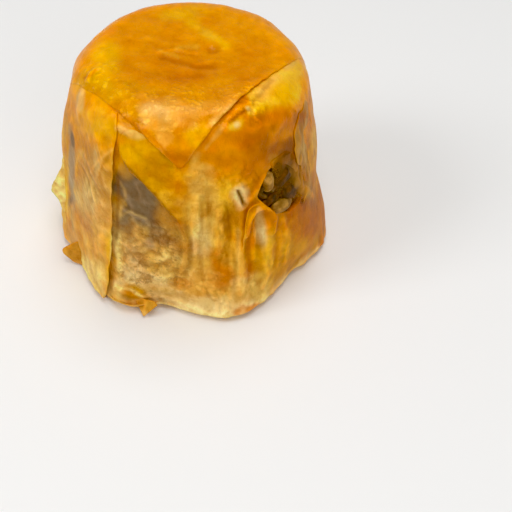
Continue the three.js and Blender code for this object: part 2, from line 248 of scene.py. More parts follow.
@dataclass(frozen=True)
class Crumple:
    """A patch of small sharp folds, where the picture shows it.

    The folds are about as wide as the size, in millimetres along x, y and z.
    """

    at: Pair
    reach: Pair
    out: float
    size: Triple


@dataclass(frozen=True)
class PictureView:
    """The view of the picture: the camera looks at a point of the floor beside the drum."""

    look: Triple = (27.8, -17.1, 0.0)
    distance: float = 450.9
    elevation: float = 43.5
    roll: float = 2.77
    focal_px: float = 1100.0
    size_px: int = 512
    sensor: float = 36.0

    def axes(self) -> tuple[Array, Array, Array]:
        """Right, up and backward directions of the camera."""
        e, t = math.radians(self.elevation), math.radians(self.roll)
        back = np.array([0, -math.cos(e), math.sin(e)])
        right = np.array([1.0, 0, 0])
        up = np.cross(back, right)
        return math.cos(t) * right + math.sin(t) * up, math.cos(t) * up - math.sin(t) * right, back

    def place(self) -> Array:
        """Where the camera stands."""
        return np.array(self.look) + self.axes()[2] * self.distance

    def to_pixels(self, points: Array) -> Array:
        """Picture places of N points."""
        right, up, back = self.axes()
        rel = points - self.place()
        depth = -(rel @ back)
        x = self.size_px / 2 + self.focal_px * (rel @ right) / depth
        y = self.size_px / 2 - self.focal_px * (rel @ up) / depth
        return np.column_stack([x, y])

    def facing(self, points: Array, normals: Array) -> Array:
        """Cosine between each normal and the direction to the camera."""
        towards = self.place() - points
        towards /= np.linalg.norm(towards, axis=1)[:, None]
        return np.einsum("ij,ij->i", towards, normals)

    def make_camera(self) -> None:
        """Adds the camera to the scene."""
        right, up, back = self.axes()
        data = bpy.data.cameras.new("picture_camera")
        data.sensor_width = self.sensor
        data.lens = self.sensor * self.focal_px / self.size_px
        camera = link_object("picture_camera", data)
        turn = Matrix((right, up, back)).transposed().to_4x4()
        camera.matrix_world = Matrix.Translation(Vector(self.place() * MM)) @ turn
        bpy.context.scene.camera = camera


@dataclass
class DrumForm:
    """The shape of the drum, from the same sizes as the solids, with finer wrinkles on it."""

    view: PictureView
    height: float = 85.0
    top_radius: float = 44.6
    base_radius: float = 55.0
    shoulder: float = 13.5
    foot: float = 2.5
    waist: Lump = Lump(0, 55, 0, 12, 1.4)
    shoulder_dip: Lobe = Lobe(-120, -2.7, 24)
    foot_fade: float = 42.0
    hems: Sequence[Lobe] = (Lobe(-55, -1.4, 8), Lobe(-9, -1.8, 8), Lobe(58, -2.2, 10))
    hem_fade: Pair = (3, 15)
    undercut: float = 2.6
    undercut_fade: Pair = (2.0, 3.2)
    dimple: Dimple = Dimple(22, 6, 13, 1.6)
    lobes: Sequence[Lobe] = (
        Lobe(24, 3.4, 10), Lobe(50, -2.2, 12), Lobe(-5, -2.6, 8), Lobe(-26, 2.0, 8), Lobe(-62, -2.9, 20),
        Lobe(92, 1.6, 14), Lobe(132, -1.8, 13), Lobe(160, 1.8, 12), Lobe(-150, -1.6, 12), Lobe(-118, 1.6, 13),
    )
    lumps: Sequence[Lump] = (
        Lump(64, 24, 17, 13, 1.5), Lump(46, 50, 9, 11, -0.9), Lump(12, 30, 6, 20, -0.7),
        Lump(-16, 42, 9, 15, -1.1), Lump(31, 22, 3, 16, -1.2), Lump(-64, 46, 10, 20, -0.8),
        Lump(-80, 52, 13, 13, 1.3), Lump(85, 30, 12, 7, -1.5), Lump(120, 40, 14, 18, -0.9),
        Lump(-140, 36, 15, 20, 0.9), Lump(176, 30, 12, 18, -0.9),
    )
    unevenness: Sequence[Grain] = (Grain(0.28, 13, 1), Grain(0.10, 4.5, 2))
    pleats: Grain = Grain(0.09, (3.8, 3.8, 26), 3)
    hem_waves: Grain = Grain(0.7, (5, 5, 60), 4)
    hem_waves_fade: Pair = (3, 13)
    hem_waves_start: float = 0.8
    shoulder_bumps: Grain = Grain(0.22, 5.5, 5)
    shoulder_band: Pair = (74, 9)
    shoulder_bumps_start: Pair = (-8, 6)
    crumple_seed: int = 30
    crumple_gaps_seed: int = 60
    crumple_gaps_size: float = 1.4
    crumple_gaps: Pair = (-0.15, 0.3)
    crumple_least: float = 0.2
    crumple_fade: Pair = (0.5, 1.2)
    back_folds: Grain = Grain(0.45, (8, 8, 22), 38)
    back_gaps: Grain = Grain(1, (13, 13, 26), 39, 1)
    back_gaps_fade: Pair = (-0.1, 0.35)
    back_fade: Pair = (-0.2, 0.3)
    front_cosine: float = -0.3
    search_angle: float = 115
    search_step: float = 0.5
    least_facing: float = 0.02
    creases: Sequence[Crease] = ()
    crumples: Sequence[Crumple] = ()
    lines: list[tuple[Array, Crease]] = field(default_factory=list)

    def __post_init__(self) -> None:
        """Works out the profile's corners and lays the creases on it."""
        self.flat = self.top_radius - self.shoulder
        self.lean = math.atan2(self.base_radius - self.top_radius, self.height - self.shoulder)
        turn = math.pi / 2 - self.lean
        wall_top = self.height - self.shoulder * (1 - math.cos(turn))
        self.wall_top = (self.flat + self.shoulder * math.sin(turn), wall_top)
        self.wall_length = math.hypot(self.base_radius - self.wall_top[0], self.wall_top[1] - self.foot)
        self.s_wall = self.flat + self.shoulder * turn
        self.s_foot = self.s_wall + self.wall_length
        self.s_base = self.s_foot + self.foot * math.pi / 2
        self.s_end = self.s_base + self.base_radius - self.foot
        self.lines = [(self.onto(crease.path), crease) for crease in self.creases]

    def profile(self, s: Array) -> tuple[Array, Array, Array, Array]:
        """Radius, height, and outward and upward parts of the normal at each distance s."""
        s = np.asarray(s, float)
        t1 = (s - self.flat) / self.shoulder
        k = (s - self.s_wall) / self.wall_length
        t2 = (s - self.s_foot) / self.foot
        where = [s <= self.flat, s <= self.s_wall, s <= self.s_foot, s <= self.s_base]
        one, zero = np.ones_like(s), np.zeros_like(s)
        wall_radius, wall_height = self.wall_top
        r = np.select(where, [
            s, self.flat + self.shoulder * np.sin(t1), wall_radius + (self.base_radius - wall_radius) * k,
            self.base_radius - self.foot * (1 - np.cos(t2))], self.s_end - s)
        z = np.select(where, [
            self.height * one, self.height - self.shoulder * (1 - np.cos(t1)),
            wall_height + (self.foot - wall_height) * k, self.foot * (1 - np.sin(t2))], 0)
        out = np.select(where, [zero, np.sin(t1), math.cos(self.lean) * one, np.cos(t2)], 0)
        up = np.select(where, [one, np.cos(t1), math.sin(self.lean) * one, -np.sin(t2)], -1)
        return r, z, out, up

    def s_at_height(self, z: Array) -> Array:
        """Distance s of each height on the shoulder or the wall."""
        z = np.asarray(z, float)
        turned = np.arccos(np.clip(1 - (self.height - z) / self.shoulder, -1, 1))
        drop = (self.wall_top[1] - z) / (self.wall_top[1] - self.foot)
        on_shoulder = self.flat + self.shoulder * turned
        return np.where(z >= self.wall_top[1], on_shoulder, self.s_wall + self.wall_length * drop)

    def flat_map(self, path: Sequence[Pair]) -> Array:
        """A path of angles and heights on the wall's flat map."""
        return np.array([(a * MM_PER_DEGREE, -float(self.s_at_height(z))) for a, z in path])

    def bulge(self, a: Array, z: Array) -> Array:
        """How far the wall stands out of the straight cone."""
        foot = sum(lobe.at(a) for lobe in self.lobes)
        hem = sum(lobe.at(a) for lobe in self.hems)
        out = self.waist.out * bell(z - self.waist.height, self.waist.tall)
        out = out + foot * (1 - smooth(z, 0, self.foot_fade)) + hem * (1 - smooth(z, *self.hem_fade))
        out = out - self.undercut * (1 - smooth(z, *self.undercut_fade))
        return out + self.shoulder_dip.at(a) * smooth(z, 0, self.height)

    def plain(self, a: Array, s: Array) -> Array:
        """The bare profile's points."""
        r, z, _, _ = self.profile(s)
        return around(r, a, z)

    def relief(self, a: Array, s: Array, z: Array) -> Array:
        """Swellings, hollows, creases and wrinkles along the crust's normal."""
        bare = self.plain(a, s)
        wall = smooth(s, self.flat, self.s_wall)
        t, dimple = np.radians(a), self.dimple
        td = math.radians(dimple.angle)
        away = np.hypot(s * np.sin(t) - dimple.s * math.sin(td), s * np.cos(t) - dimple.s * math.cos(td))
        total = sum(lump.at(a, z) for lump in self.lumps) * wall - dimple.deep * bell(away, dimple.reach)
        for line, crease in self.lines:
            total = total + crease.out * bell(distance_to_line(bare, line), crease.width)
        for grain in self.unevenness:
            total = total + grain.at(bare)
        total = total + wall * self.pleats.out * self.pleats.pattern(bare)
        hem = self.hem_waves.at(bare) * (1 - smooth(z, *self.hem_waves_fade))
        total = total + hem * smooth(z, 0, self.hem_waves_start)
        middle, reach = self.shoulder_band
        start, full = (self.flat + shift for shift in self.shoulder_bumps_start)
        total = total + self.shoulder_bumps.at(bare) * bell(z - middle, reach) * smooth(s, start, full)
        total = self.crumpled(total, bare, np.cos(t) > self.front_cosine)
        back = wall * (np.cos(t) < -self.back_fade[0]) * smooth(-np.cos(t), *self.back_fade)
        broken = smooth(self.back_gaps.pattern(bare), *self.back_gaps_fade)
        folds = sharp_folds(bare, self.back_folds.size, self.back_folds.seed)
        return total - self.back_folds.out * back * broken * folds

    def crumpled(self, total: Array, bare: Array, front: Array) -> Array:
        """The relief with the crumples of the front added.

        Args:
            total: N heights so far.
            bare: N x 3 points of the bare profile.
            front: which points may be in the picture.

        Returns:
            N heights.
        """
        pixels = self.view.to_pixels(bare)
        for number, crumple in enumerate(self.crumples):
            away = np.hypot(*((pixels - np.array(crumple.at)) / np.array(crumple.reach)).T)
            wide = tuple(self.crumple_gaps_size * size for size in crumple.size)
            broken = smooth(noise(bare, wide, self.crumple_gaps_seed + number), *self.crumple_gaps)
            fold = sharp_folds(bare, crumple.size, self.crumple_seed + number)
            fold = fold * (self.crumple_least + (1 - self.crumple_least) * broken)
            total = total + crumple.out * fold * (1 - smooth(away, *self.crumple_fade)) * front
        return total

    def surface(self, a: Array, s: Array, lift: Array | float) -> Array:
        """Points of the crust.

        Args:
            a: angles in degrees.
            s: distances along the crust.
            lift: how far each point stands off the crust along its normal.

        Returns:
            N x 3 points.
        """
        a, s = np.broadcast_arrays(np.asarray(a, float), np.asarray(s, float))
        r, z, out, up = self.profile(s)
        off = lift + np.where(s >= self.s_base, 0, self.relief(a, s, z))
        shape = smooth(s, self.flat, self.s_wall) * np.minimum(1, r / (self.base_radius - self.foot))
        far = np.maximum(0, r + self.bulge(a, z) * shape + out * off)
        return around(far, a, np.maximum(0, z + up * off))

    def on_wall(self, flat: Array, lift: Array | float) -> Array:
        """Points of the wall for places of its flat map."""
        return self.surface(flat[:, 0] / MM_PER_DEGREE, -flat[:, 1], lift)

    def onto(self, path: Sequence[Pair]) -> Array:
        """Points of the bare drum that are seen at places of the picture."""
        angles = np.arange(-self.search_angle, self.search_angle, self.search_step)
        a, s = (each.ravel() for each in np.meshgrid(angles, np.arange(0, self.s_base, self.search_step)))
        bare = self.plain(a, s)
        _, _, out, up = self.profile(s)
        seen = self.view.facing(bare, around(out, a, up)) > self.least_facing
        bare, pixels = bare[seen], self.view.to_pixels(bare)[seen]
        return np.array([bare[np.argmin(((pixels - place) ** 2).sum(1))] for place in path])


@dataclass
class Mesh:
    """Points in millimetres with faces, on the way to becoming an object."""

    points: Array
    faces: Faces
    edge: Array | None = None

    def to_object(self, name: str) -> bpy.types.Object:
        """Makes a smooth shaded object in metres and links it to the scene."""
        data = bpy.data.meshes.new(name)
        data.from_pydata((self.points * MM).tolist(), [], self.faces)
        data.validate()
        data.shade_smooth()
        if self.edge is not None:
            write_attribute(data, "edge", self.edge)
        return link_object(name, data)


def ring_faces(columns: int, rows: int) -> Faces:
    """Faces of a closed form of columns of points, whose last two points are its top and its bottom."""
    top, bottom = columns * rows, columns * rows + 1
    faces: Faces = []
    for i in range(columns):
        here, there = i * rows, (i + 1) % columns * rows
        faces.append((top, here, there))
        faces.extend((here + j, here + j + 1, there + j + 1, there + j) for j in range(rows - 1))
        faces.append((here + rows - 1, bottom, there + rows - 1))
    return faces


def drum_grid(form: DrumForm, angles: Array, steps: Array, lift: Callable[[Array, Array], Array]) -> Mesh:
    """A closed drum on a grid of angles and distances s.

    Args:
        form: the drum's shape.
        angles: the columns, going once round.
        steps: distances s strictly between the top's centre and the base's centre.
        lift: stand-off for arrays of angles and distances.

    Returns:
        The mesh, with one point for each pole.
    """
    a, s = (each.ravel() for each in np.meshgrid(angles, steps, indexing="ij"))
    ends = np.array([0.0, form.s_end])
    poles = form.surface(np.zeros(2), ends, lift(np.zeros(2), ends))
    points = np.vstack([form.surface(a, s, lift(a, s)), poles])
    return Mesh(points, ring_faces(len(angles), len(steps)))


def closed(outline: Array) -> Array:
    """A closed outline as a line that ends where it starts."""
    return np.vstack([outline, outline[:1]])


def corner_cut(points: Array, after: Array) -> Array:
    """Two points on each stretch from a point to the one after it, a quarter in from both ends."""
    return np.stack([points * 0.75 + after * 0.25, points * 0.25 + after * 0.75], axis=1).reshape(-1, 2)


def softened(outline: Array, rounds: int) -> Array:
    """A closed outline with its corners cut, some times over."""
    for _ in range(rounds):
        outline = corner_cut(outline, np.roll(outline, -1, axis=0))
    return outline


def softened_line(line: Array, rounds: int) -> Array:
    """An open line with its corners cut, some times over, its ends kept."""
    for _ in range(rounds):
        line = np.vstack([line[:1], corner_cut(line[:-1], line[1:]), line[-1:]])
    return line


def walked(line: Array, step: float) -> Array:
    """An open line with its points about one step apart, its ends kept."""
    along = np.concatenate([[0], np.cumsum(np.linalg.norm(np.diff(line, axis=0), axis=1))])
    places = np.linspace(0, along[-1], max(3, round(along[-1] / step) + 1))
    return np.column_stack([np.interp(places, along, line[:, k]) for k in range(line.shape[1])])


def stepped(outline: Array, step: float) -> Array:
    """A closed outline with its points about one step apart."""
    return walked(closed(outline), step)[:-1]


def frayed(outline: Array, amount: float, size: float, seeds: tuple[int, int], level: float = 0.0) -> Array:
    """An outline with its points moved about by noise.

    Args:
        outline: N x 2 places of a flat map.
        amount: how far they move, about.
        size: width of the waves.
        seeds: seeds of the moves across and up.
        level: another level gives another pattern.

    Returns:
        The new places.
    """
    moves = [flat_noise(outline, size, seed, level=level) for seed in seeds]
    return outline + amount * np.column_stack(moves)


def inside(points: Array, outline: Array) -> Array:
    """Which points lie inside a closed outline."""
    within = np.zeros(len(points), bool)
    for (x1, y1), (x2, y2) in zip(outline, np.roll(outline, -1, axis=0)):
        crosses = (y1 > points[:, 1]) != (y2 > points[:, 1])
        if y1 != y2:
            within ^= crosses & (points[:, 0] < (x2 - x1) * (points[:, 1] - y1) / (y2 - y1) + x1)
    return within


def filled_in(outline: Array, step: float, clear: float = 0.55) -> tuple[Array, Faces]:
    """Triangles that fill an outline evenly.

    Args:
        outline: closed outline, its points about one step apart.
        step: size of the triangles.
        clear: how far the inner points stay from the outline, in steps.

    Returns:
        The points, the outline's first and in order, and the triangles, counter-clockwise.
    """
    low, high = outline.min(0), outline.max(0)
    rows = np.arange(low[1], high[1], step * math.sqrt(3) / 2)
    lattice = np.array([
        (x, y) for k, y in enumerate(rows) for x in np.arange(low[0] + (k % 2) * step / 2, high[0], step)])
    lattice = lattice[inside(lattice, outline)]
    lattice = lattice[distance_to_line(lattice, closed(outline)) > step * clear]
    count = len(outline)
    points = [Vector(p) for p in np.vstack([outline, lattice]).tolist()]
    edges = [(i, (i + 1) % count) for i in range(count)]
    inside_only, tolerance = 1, 1e-6
    made = delaunay_2d_cdt(points, edges, [], inside_only, tolerance, False)
    flat = np.array([tuple(p) for p in made[0]])
    if len(flat) != len(points):
        raise ValueError("an outline crosses itself")
    faces = np.array(made[2])
    faces = faces[inside(flat[faces].mean(1), outline)]
    a, b, c = flat[faces[:, 0]], flat[faces[:, 1]], flat[faces[:, 2]]
    turned = (b[:, 0] - a[:, 0]) * (c[:, 1] - a[:, 1]) < (b[:, 1] - a[:, 1]) * (c[:, 0] - a[:, 0])
    faces[turned] = faces[turned][:, ::-1]
    return flat, [tuple(f) for f in faces.tolist()]


def slab(outline: Array, step: float, face: Callable[[Array, float], Array], sides: Pair = (0, 1),
         free: Array | None = None) -> Mesh:
    """A closed thin solid over an outline.

    Args:
        outline: closed outline in a flat map of the drum.
        step: size of its triangles.
        face: gives the points of one side for places of the map.
        sides: which sides the outer and the inner face are, in the numbers that face takes.
        free: the part of the outline that is a free edge, whose rim gets the darker edge colour of toasting
            and painted shade.

    Returns:
        The mesh, its outer face first.
    """
    flat, triangles = filled_in(outline, step)
    over, under = (face(flat, side) for side in sides)
    a, b, c = (over[[f[k] for f in triangles]] for k in range(3))
    turned = np.einsum("ij,ij->i", np.cross(b - a, c - a), a - under[[f[0] for f in triangles]]).sum() < 0
    if turned:
        triangles = [tuple(reversed(f)) for f in triangles]
    half = len(flat)
    faces = list(triangles) + [tuple(half + i for i in reversed(f)) for f in triangles]
    ways = {(f[k], f[(k + 1) % 3]) for f in triangles for k in range(3)}
    faces += [(j, i, half + i, half + j) for i, j in ways if (j, i) not in ways]
    rim = None if free is None else np.tile(bell(distance_to_line(flat, free), RIM_WIDTH), 2)
    return Mesh(np.vstack([over, under]), faces, rim)


class Layer(Enum):
    """The pastry layers that marks can be kept to."""

    CRUST = "crust"
    CAP = "top_sheet"
    FRONT = "front_sheet"
    LEFT_WRAP = "left_wrap"
    RIGHT = "right_sheet"
    ARCH = "arched_fold"
    BACK_LEFT = "back_left_sheet"
    BACK_RIGHT = "back_right_sheet"
    LIP = "turned_lip"
    FLAKE = "loose_flake"
    FILM = "thin_film"


class Bake(Enum):
    """Colours of the baked pastry, as displayed; some marks use them for painted highlights and painted
    shade.
    """

    ORANGE = (226, 142, 8)
    DEEP_ORANGE = (212, 122, 4)
    AMBER = (192, 104, 3)
    RUST = (172, 92, 6)
    YELLOW = (234, 172, 14)
    BUTTER = (236, 180, 46)
    GOLD = (222, 158, 34)
    SAND = (214, 168, 92)
    CREAM = (234, 198, 130)
    BLUSH = (234, 172, 78)
    TAN = (196, 150, 80)
    OLIVE = (204, 139, 10)
    BROWN = (172, 104, 20)
    SMOKE = (120, 93, 66)
    MAUVE = (168, 136, 98)
    # Painted shade, for the dark lines under a sheet's edge and in the slit.
    SHADE = (120, 72, 18)
    UMBER = (124, 62, 8)
    HONEY = (206, 136, 16)
    PALE_GOLD = (220, 168, 74)
    FLAME = (224, 122, 14)
    OCHRE = (198, 136, 42)
    CARAMEL = (178, 122, 44)
    STRAW = (242, 206, 118)
    DUSK = (104, 66, 26)


ANY_LAYER = tuple(Layer)
CAP = (Layer.CAP,)
SKIN = (Layer.CRUST,)
FRONT = (Layer.FRONT,)
LEFT_WRAP = (Layer.LEFT_WRAP,)
RIGHT = (Layer.RIGHT,)
FLAKE = (Layer.FLAKE,)
LIP = (Layer.LIP,)
LEFT_PANEL = (Layer.LEFT_WRAP, Layer.CRUST)
HEM = (Layer.CRUST, Layer.FRONT)
HOLE_RIM = (Layer.CRUST, Layer.FILM)
ON_WALL = (Layer.CRUST, Layer.FRONT, Layer.LEFT_WRAP, Layer.RIGHT, Layer.ARCH, Layer.LIP, Layer.FILM)


class Effect(Enum):
    """Surface effects that are painted as amounts from 0 to 1."""

    GLOSS = "gloss"
    CRACKLE = "crackle"
    BLISTER = "blister"
    STREAK = "streak"
    SLANT = "slant"


@dataclass(frozen=True)
class Mark:
    """A soft oval of a colour or an effect, where the picture shows it."""

    what: Bake | Effect
    at: Pair
    size: Pair
    turn: float = 0.0
    amount: float = 1.0
    soft: float = 0.6
    ragged: float = 0.35
    on: tuple[Layer, ...] = ()

    def mask(self, pixels: Array, grit: Array) -> Array:
        """How much of the mark each place takes.

        Args:
            pixels: N x 2 picture places.
            grit: N noise values that fray the oval's rim.

        Returns:
            N amounts.
        """
        t = math.radians(self.turn)
        d = pixels - np.array(self.at)
        along = (d[:, 0] * math.cos(t) + d[:, 1] * math.sin(t)) / self.size[0]
        across = (d[:, 1] * math.cos(t) - d[:, 0] * math.sin(t)) / self.size[1]
        reach = np.hypot(along, across) + self.ragged * grit
        return self.amount * (1 - smooth(reach, 1 - self.soft, 1 + self.soft))


@dataclass(frozen=True)
class Line:
    """A soft line of a colour or an effect, where the picture shows it."""

    what: Bake | Effect
    path: Sequence[Pair]
    width: float
    amount: float = 1.0
    ragged: float = 0.4
    on: tuple[Layer, ...] = ()

    def mask(self, pixels: Array, grit: Array) -> Array:
        """How much of the line each place takes; the arguments are those of Mark.mask."""
        away = distance_to_line(pixels, np.array(self.path, float))
        return self.amount * bell(away, self.width * (1 + self.ragged * grit))


def kept_to(layers: tuple[Layer, ...], *marks: Mark | Line) -> tuple[Mark | Line, ...]:
    """The marks, those that name no layers kept to the given ones."""
    return tuple(replace(mark, on=mark.on or layers) for mark in marks)


# The wall's broad tones.
WALL_TONES = kept_to(
    ON_WALL,
    Mark(Bake.DEEP_ORANGE, (236, 150), (56, 40), 10, 0.9, 0.5),
    Mark(Bake.ORANGE, (196, 176), (30, 18), 0, 0.8),
    Mark(Bake.BUTTER, (205, 212), (48, 34), 0, 0.5),
    Mark(Bake.PALE_GOLD, (208, 286), (72, 32), 8, 0.9),
    Mark(Bake.AMBER, (306, 226), (30, 40), 8, 0.95, 0.4),
    Mark(Bake.HONEY, (288, 258), (34, 20), -30, 0.95),
)

# Top sheet.
TOP_SHEET = kept_to(
    CAP,
    Mark(Bake.DEEP_ORANGE, (180, 62), (32, 20), 8, 0.7),
    Mark(Bake.DEEP_ORANGE, (236, 58), (30, 20), 0, 0.45),
    Mark(Bake.FLAME, (108, 34), (8, 4), -30, 0.6),
    Mark(Bake.YELLOW, (104, 66), (13, 24), 24, 0.8),
    Mark(Bake.YELLOW, (95, 92), (19, 13), 10, 0.65, on=ANY_LAYER),
    Mark(Bake.YELLOW, (184, 14), (24, 7), -8, 0.75),
    Line(Bake.YELLOW, ((190, 22), (202, 30), (216, 38), (226, 46)), 3.2, 0.7),
    Line(Bake.BUTTER, ((205, 32), (214, 37)), 2.0, 0.5),
    Line(Bake.BUTTER, ((160, 50), (166, 53), (178, 56)), 1.5, 0.35),
    Line(Bake.BUTTER, ((176, 48), (186, 47), (198, 47)), 1.5, 0.4),
    Line(Bake.AMBER, ((165, 58), (182, 62), (196, 66), (212, 66)), 2.2, 0.55),
    Line(Bake.AMBER, ((120, 64), (150, 76), (182, 80), (214, 76)), 2.6, 0.25),
    # Painted highlight on the top sheet's left shoulder.
    Mark(Bake.BUTTER, (108, 93), (14, 8), 28, 0.35, 0.8, 0.8),
    Mark(Bake.OLIVE, (112, 100), (40, 24), 20, 0.7, 0.5, 0.3),
    Mark(Bake.AMBER, (98, 104), (20, 10), 20, 0.35, 0.7, 0.5, on=ANY_LAYER),
    Mark(Bake.AMBER, (162, 128), (60, 28), 10, 0.4, 0.4, 0.4),
    # Painted sheen: the pinkish-cream highlight band of the front shoulder.
    Mark(Bake.BLUSH, (166, 113), (32, 11), 3, 0.38, 0.7, 0.9),
    Mark(Bake.CREAM, (152, 110), (12, 5), 10, 0.2, 0.8, 1.0),
    Mark(Bake.BLUSH, (163, 137), (12, 8), 30, 0.35, 0.9, 1.1),
    Mark(Bake.BLUSH, (208, 106), (24, 8), -12, 0.25, 0.7, 0.8),
    Mark(Bake.AMBER, (181, 160), (17, 11), 0, 1.0, 0.7, 0.4),
    Mark(Bake.YELLOW, (200, 134), (14, 8), -35, 0.6, 0.7, 0.6),
    # Painted shade: dark lines along both edges of the hanging corner.
    Line(Bake.AMBER, ((181, 169), (160, 146), (143, 130), (128, 119), (112, 110)), 1.5, 0.8),
    Line(Bake.AMBER, ((181, 169), (196, 154), (210, 137), (226, 120), (240, 106)), 1.5, 0.8),
    # Painted highlight along the fold of the top sheet's right edge.
    Line(Bake.BLUSH, ((214, 122), (224, 112), (236, 103)), 2.4, 0.7),
    Line(Bake.AMBER, ((84, 78), (91, 76), (96, 70)), 1.0, 0.8),
)

# Right of the hanging corner.
RIGHT_OF_CORNER = kept_to(
    ON_WALL,
    Mark(Bake.BUTTER, (277, 86), (30, 21), -38, 1.0, 0.3),
    Mark(Bake.YELLOW, (284, 93), (14, 13), 0, 0.85),
    Mark(Bake.YELLOW, (263, 110), (10, 8), 0, 0.7),
    Line(Bake.BLUSH, ((262, 92), (268, 85), (275, 79)), 4.0, 0.6),
    # Painted highlight on the right shoulder.
    Line(Bake.SAND, ((286, 68), (295, 62)), 2.5, 0.6),
    # Painted highlights: two pale glossy spots on the raised fold.
    Mark(Bake.BUTTER, (249, 110), (6, 4), 40, 0.8, 0.7, 0.6),
    Mark(Bake.CREAM, (248, 109), (2.5, 2), 40, 0.7, 0.7, 0.6),
    Mark(Bake.BUTTER, (236, 126), (7.5, 5), -30, 0.9, 0.6, 0.5),
    Mark(Bake.CREAM, (237, 125), (3, 2.5), -30, 0.7, 0.7, 0.6),
    # Painted shade along the corner's right edge, on the sheet below it.
    Line(Bake.AMBER, ((245, 110), (238, 115), (230, 121), (223, 130)), 1.3, 0.8),
    Line(Bake.PALE_GOLD, ((222, 128), (214, 138), (206, 148)), 1.4, 0.5),
    Mark(Bake.DEEP_ORANGE, (284, 120), (24, 11), 0, 1.0),
    Mark(Bake.AMBER, (288, 122), (14, 7), 0, 0.6, 0.7, 0.6),
    Mark(Bake.AMBER, (254, 150), (15, 28), 8, 0.9),
    Mark(Bake.RUST, (262, 138), (8, 14), 0, 0.5, 0.8, 0.8),
    Mark(Bake.ORANGE, (228, 150), (14, 12), 0, 0.6, 0.8, 0.6),
    Mark(Bake.RUST, (282, 152), (20, 16), 0, 0.9, 0.6, 0.8, on=HOLE_RIM),
    Mark(Bake.UMBER, (290, 157), (12, 15), 0, 0.75, 0.7, 0.6, on=HOLE_RIM),
    Mark(Bake.OCHRE, (272, 159), (4, 4), 0, 0.7, 0.6, 0.6, on=HOLE_RIM),
    Mark(Bake.DUSK, (287, 181), (18, 22), 0, 1.0, 0.5, 0.5, on=HOLE_RIM),
    Mark(Bake.BROWN, (298, 172), (7, 12), 20, 0.5, 0.7, 0.6, on=HOLE_RIM),
    Mark(Bake.CARAMEL, (306, 186), (7, 16), -20, 0.85, 0.7, 0.5),
    Mark(Bake.RUST, (300, 202), (10, 7), 0, 0.9, 0.7, 0.5, on=HOLE_RIM),
    Mark(Bake.UMBER, (299, 201), (6, 4), 0, 0.5, 0.7, 0.5, on=HOLE_RIM),
    Mark(Bake.RUST, (299, 117), (7, 5.5), 0, 1.0, 0.6, 0.5),
    # Painted glint.
    Mark(Bake.BUTTER, (219, 171), (3, 4.5), 20, 0.6, 0.8, 0.9),
    Mark(Bake.PALE_GOLD, (205, 191), (5, 10), -12, 0.3, 0.8, 0.8),
    Mark(Bake.BUTTER, (228, 184), (5, 2.5), 30, 0.5, 0.8, 0.9),
)

# The rounded flap left of the hanging corner.
ROUNDED_FLAP = kept_to(
    FRONT,
    Mark(Bake.OLIVE, (150, 164), (34, 30), 40, 0.95, 0.35),
    Mark(Bake.YELLOW, (134, 152), (12, 16), -10, 0.6),
    # Painted glints at the flap's top.
    Mark(Bake.BUTTER, (134, 134), (11, 5), 15, 0.9),
    Mark(Bake.CREAM, (135, 134), (9, 4), 15, 0.4),
    Mark(Bake.AMBER, (180, 186), (20, 8), 38, 0.5, 0.7, 0.6, on=ANY_LAYER),
    Mark(Bake.BROWN, (168, 198), (14, 8), 42, 0.6, 0.7, 0.7, on=ANY_LAYER),
    # Painted shadow along the front sheet's free edge.
    Line(Bake.SHADE, ((123, 163), (138, 178), (154, 195), (168, 211), (178, 223)), 1.1, 0.85),
)

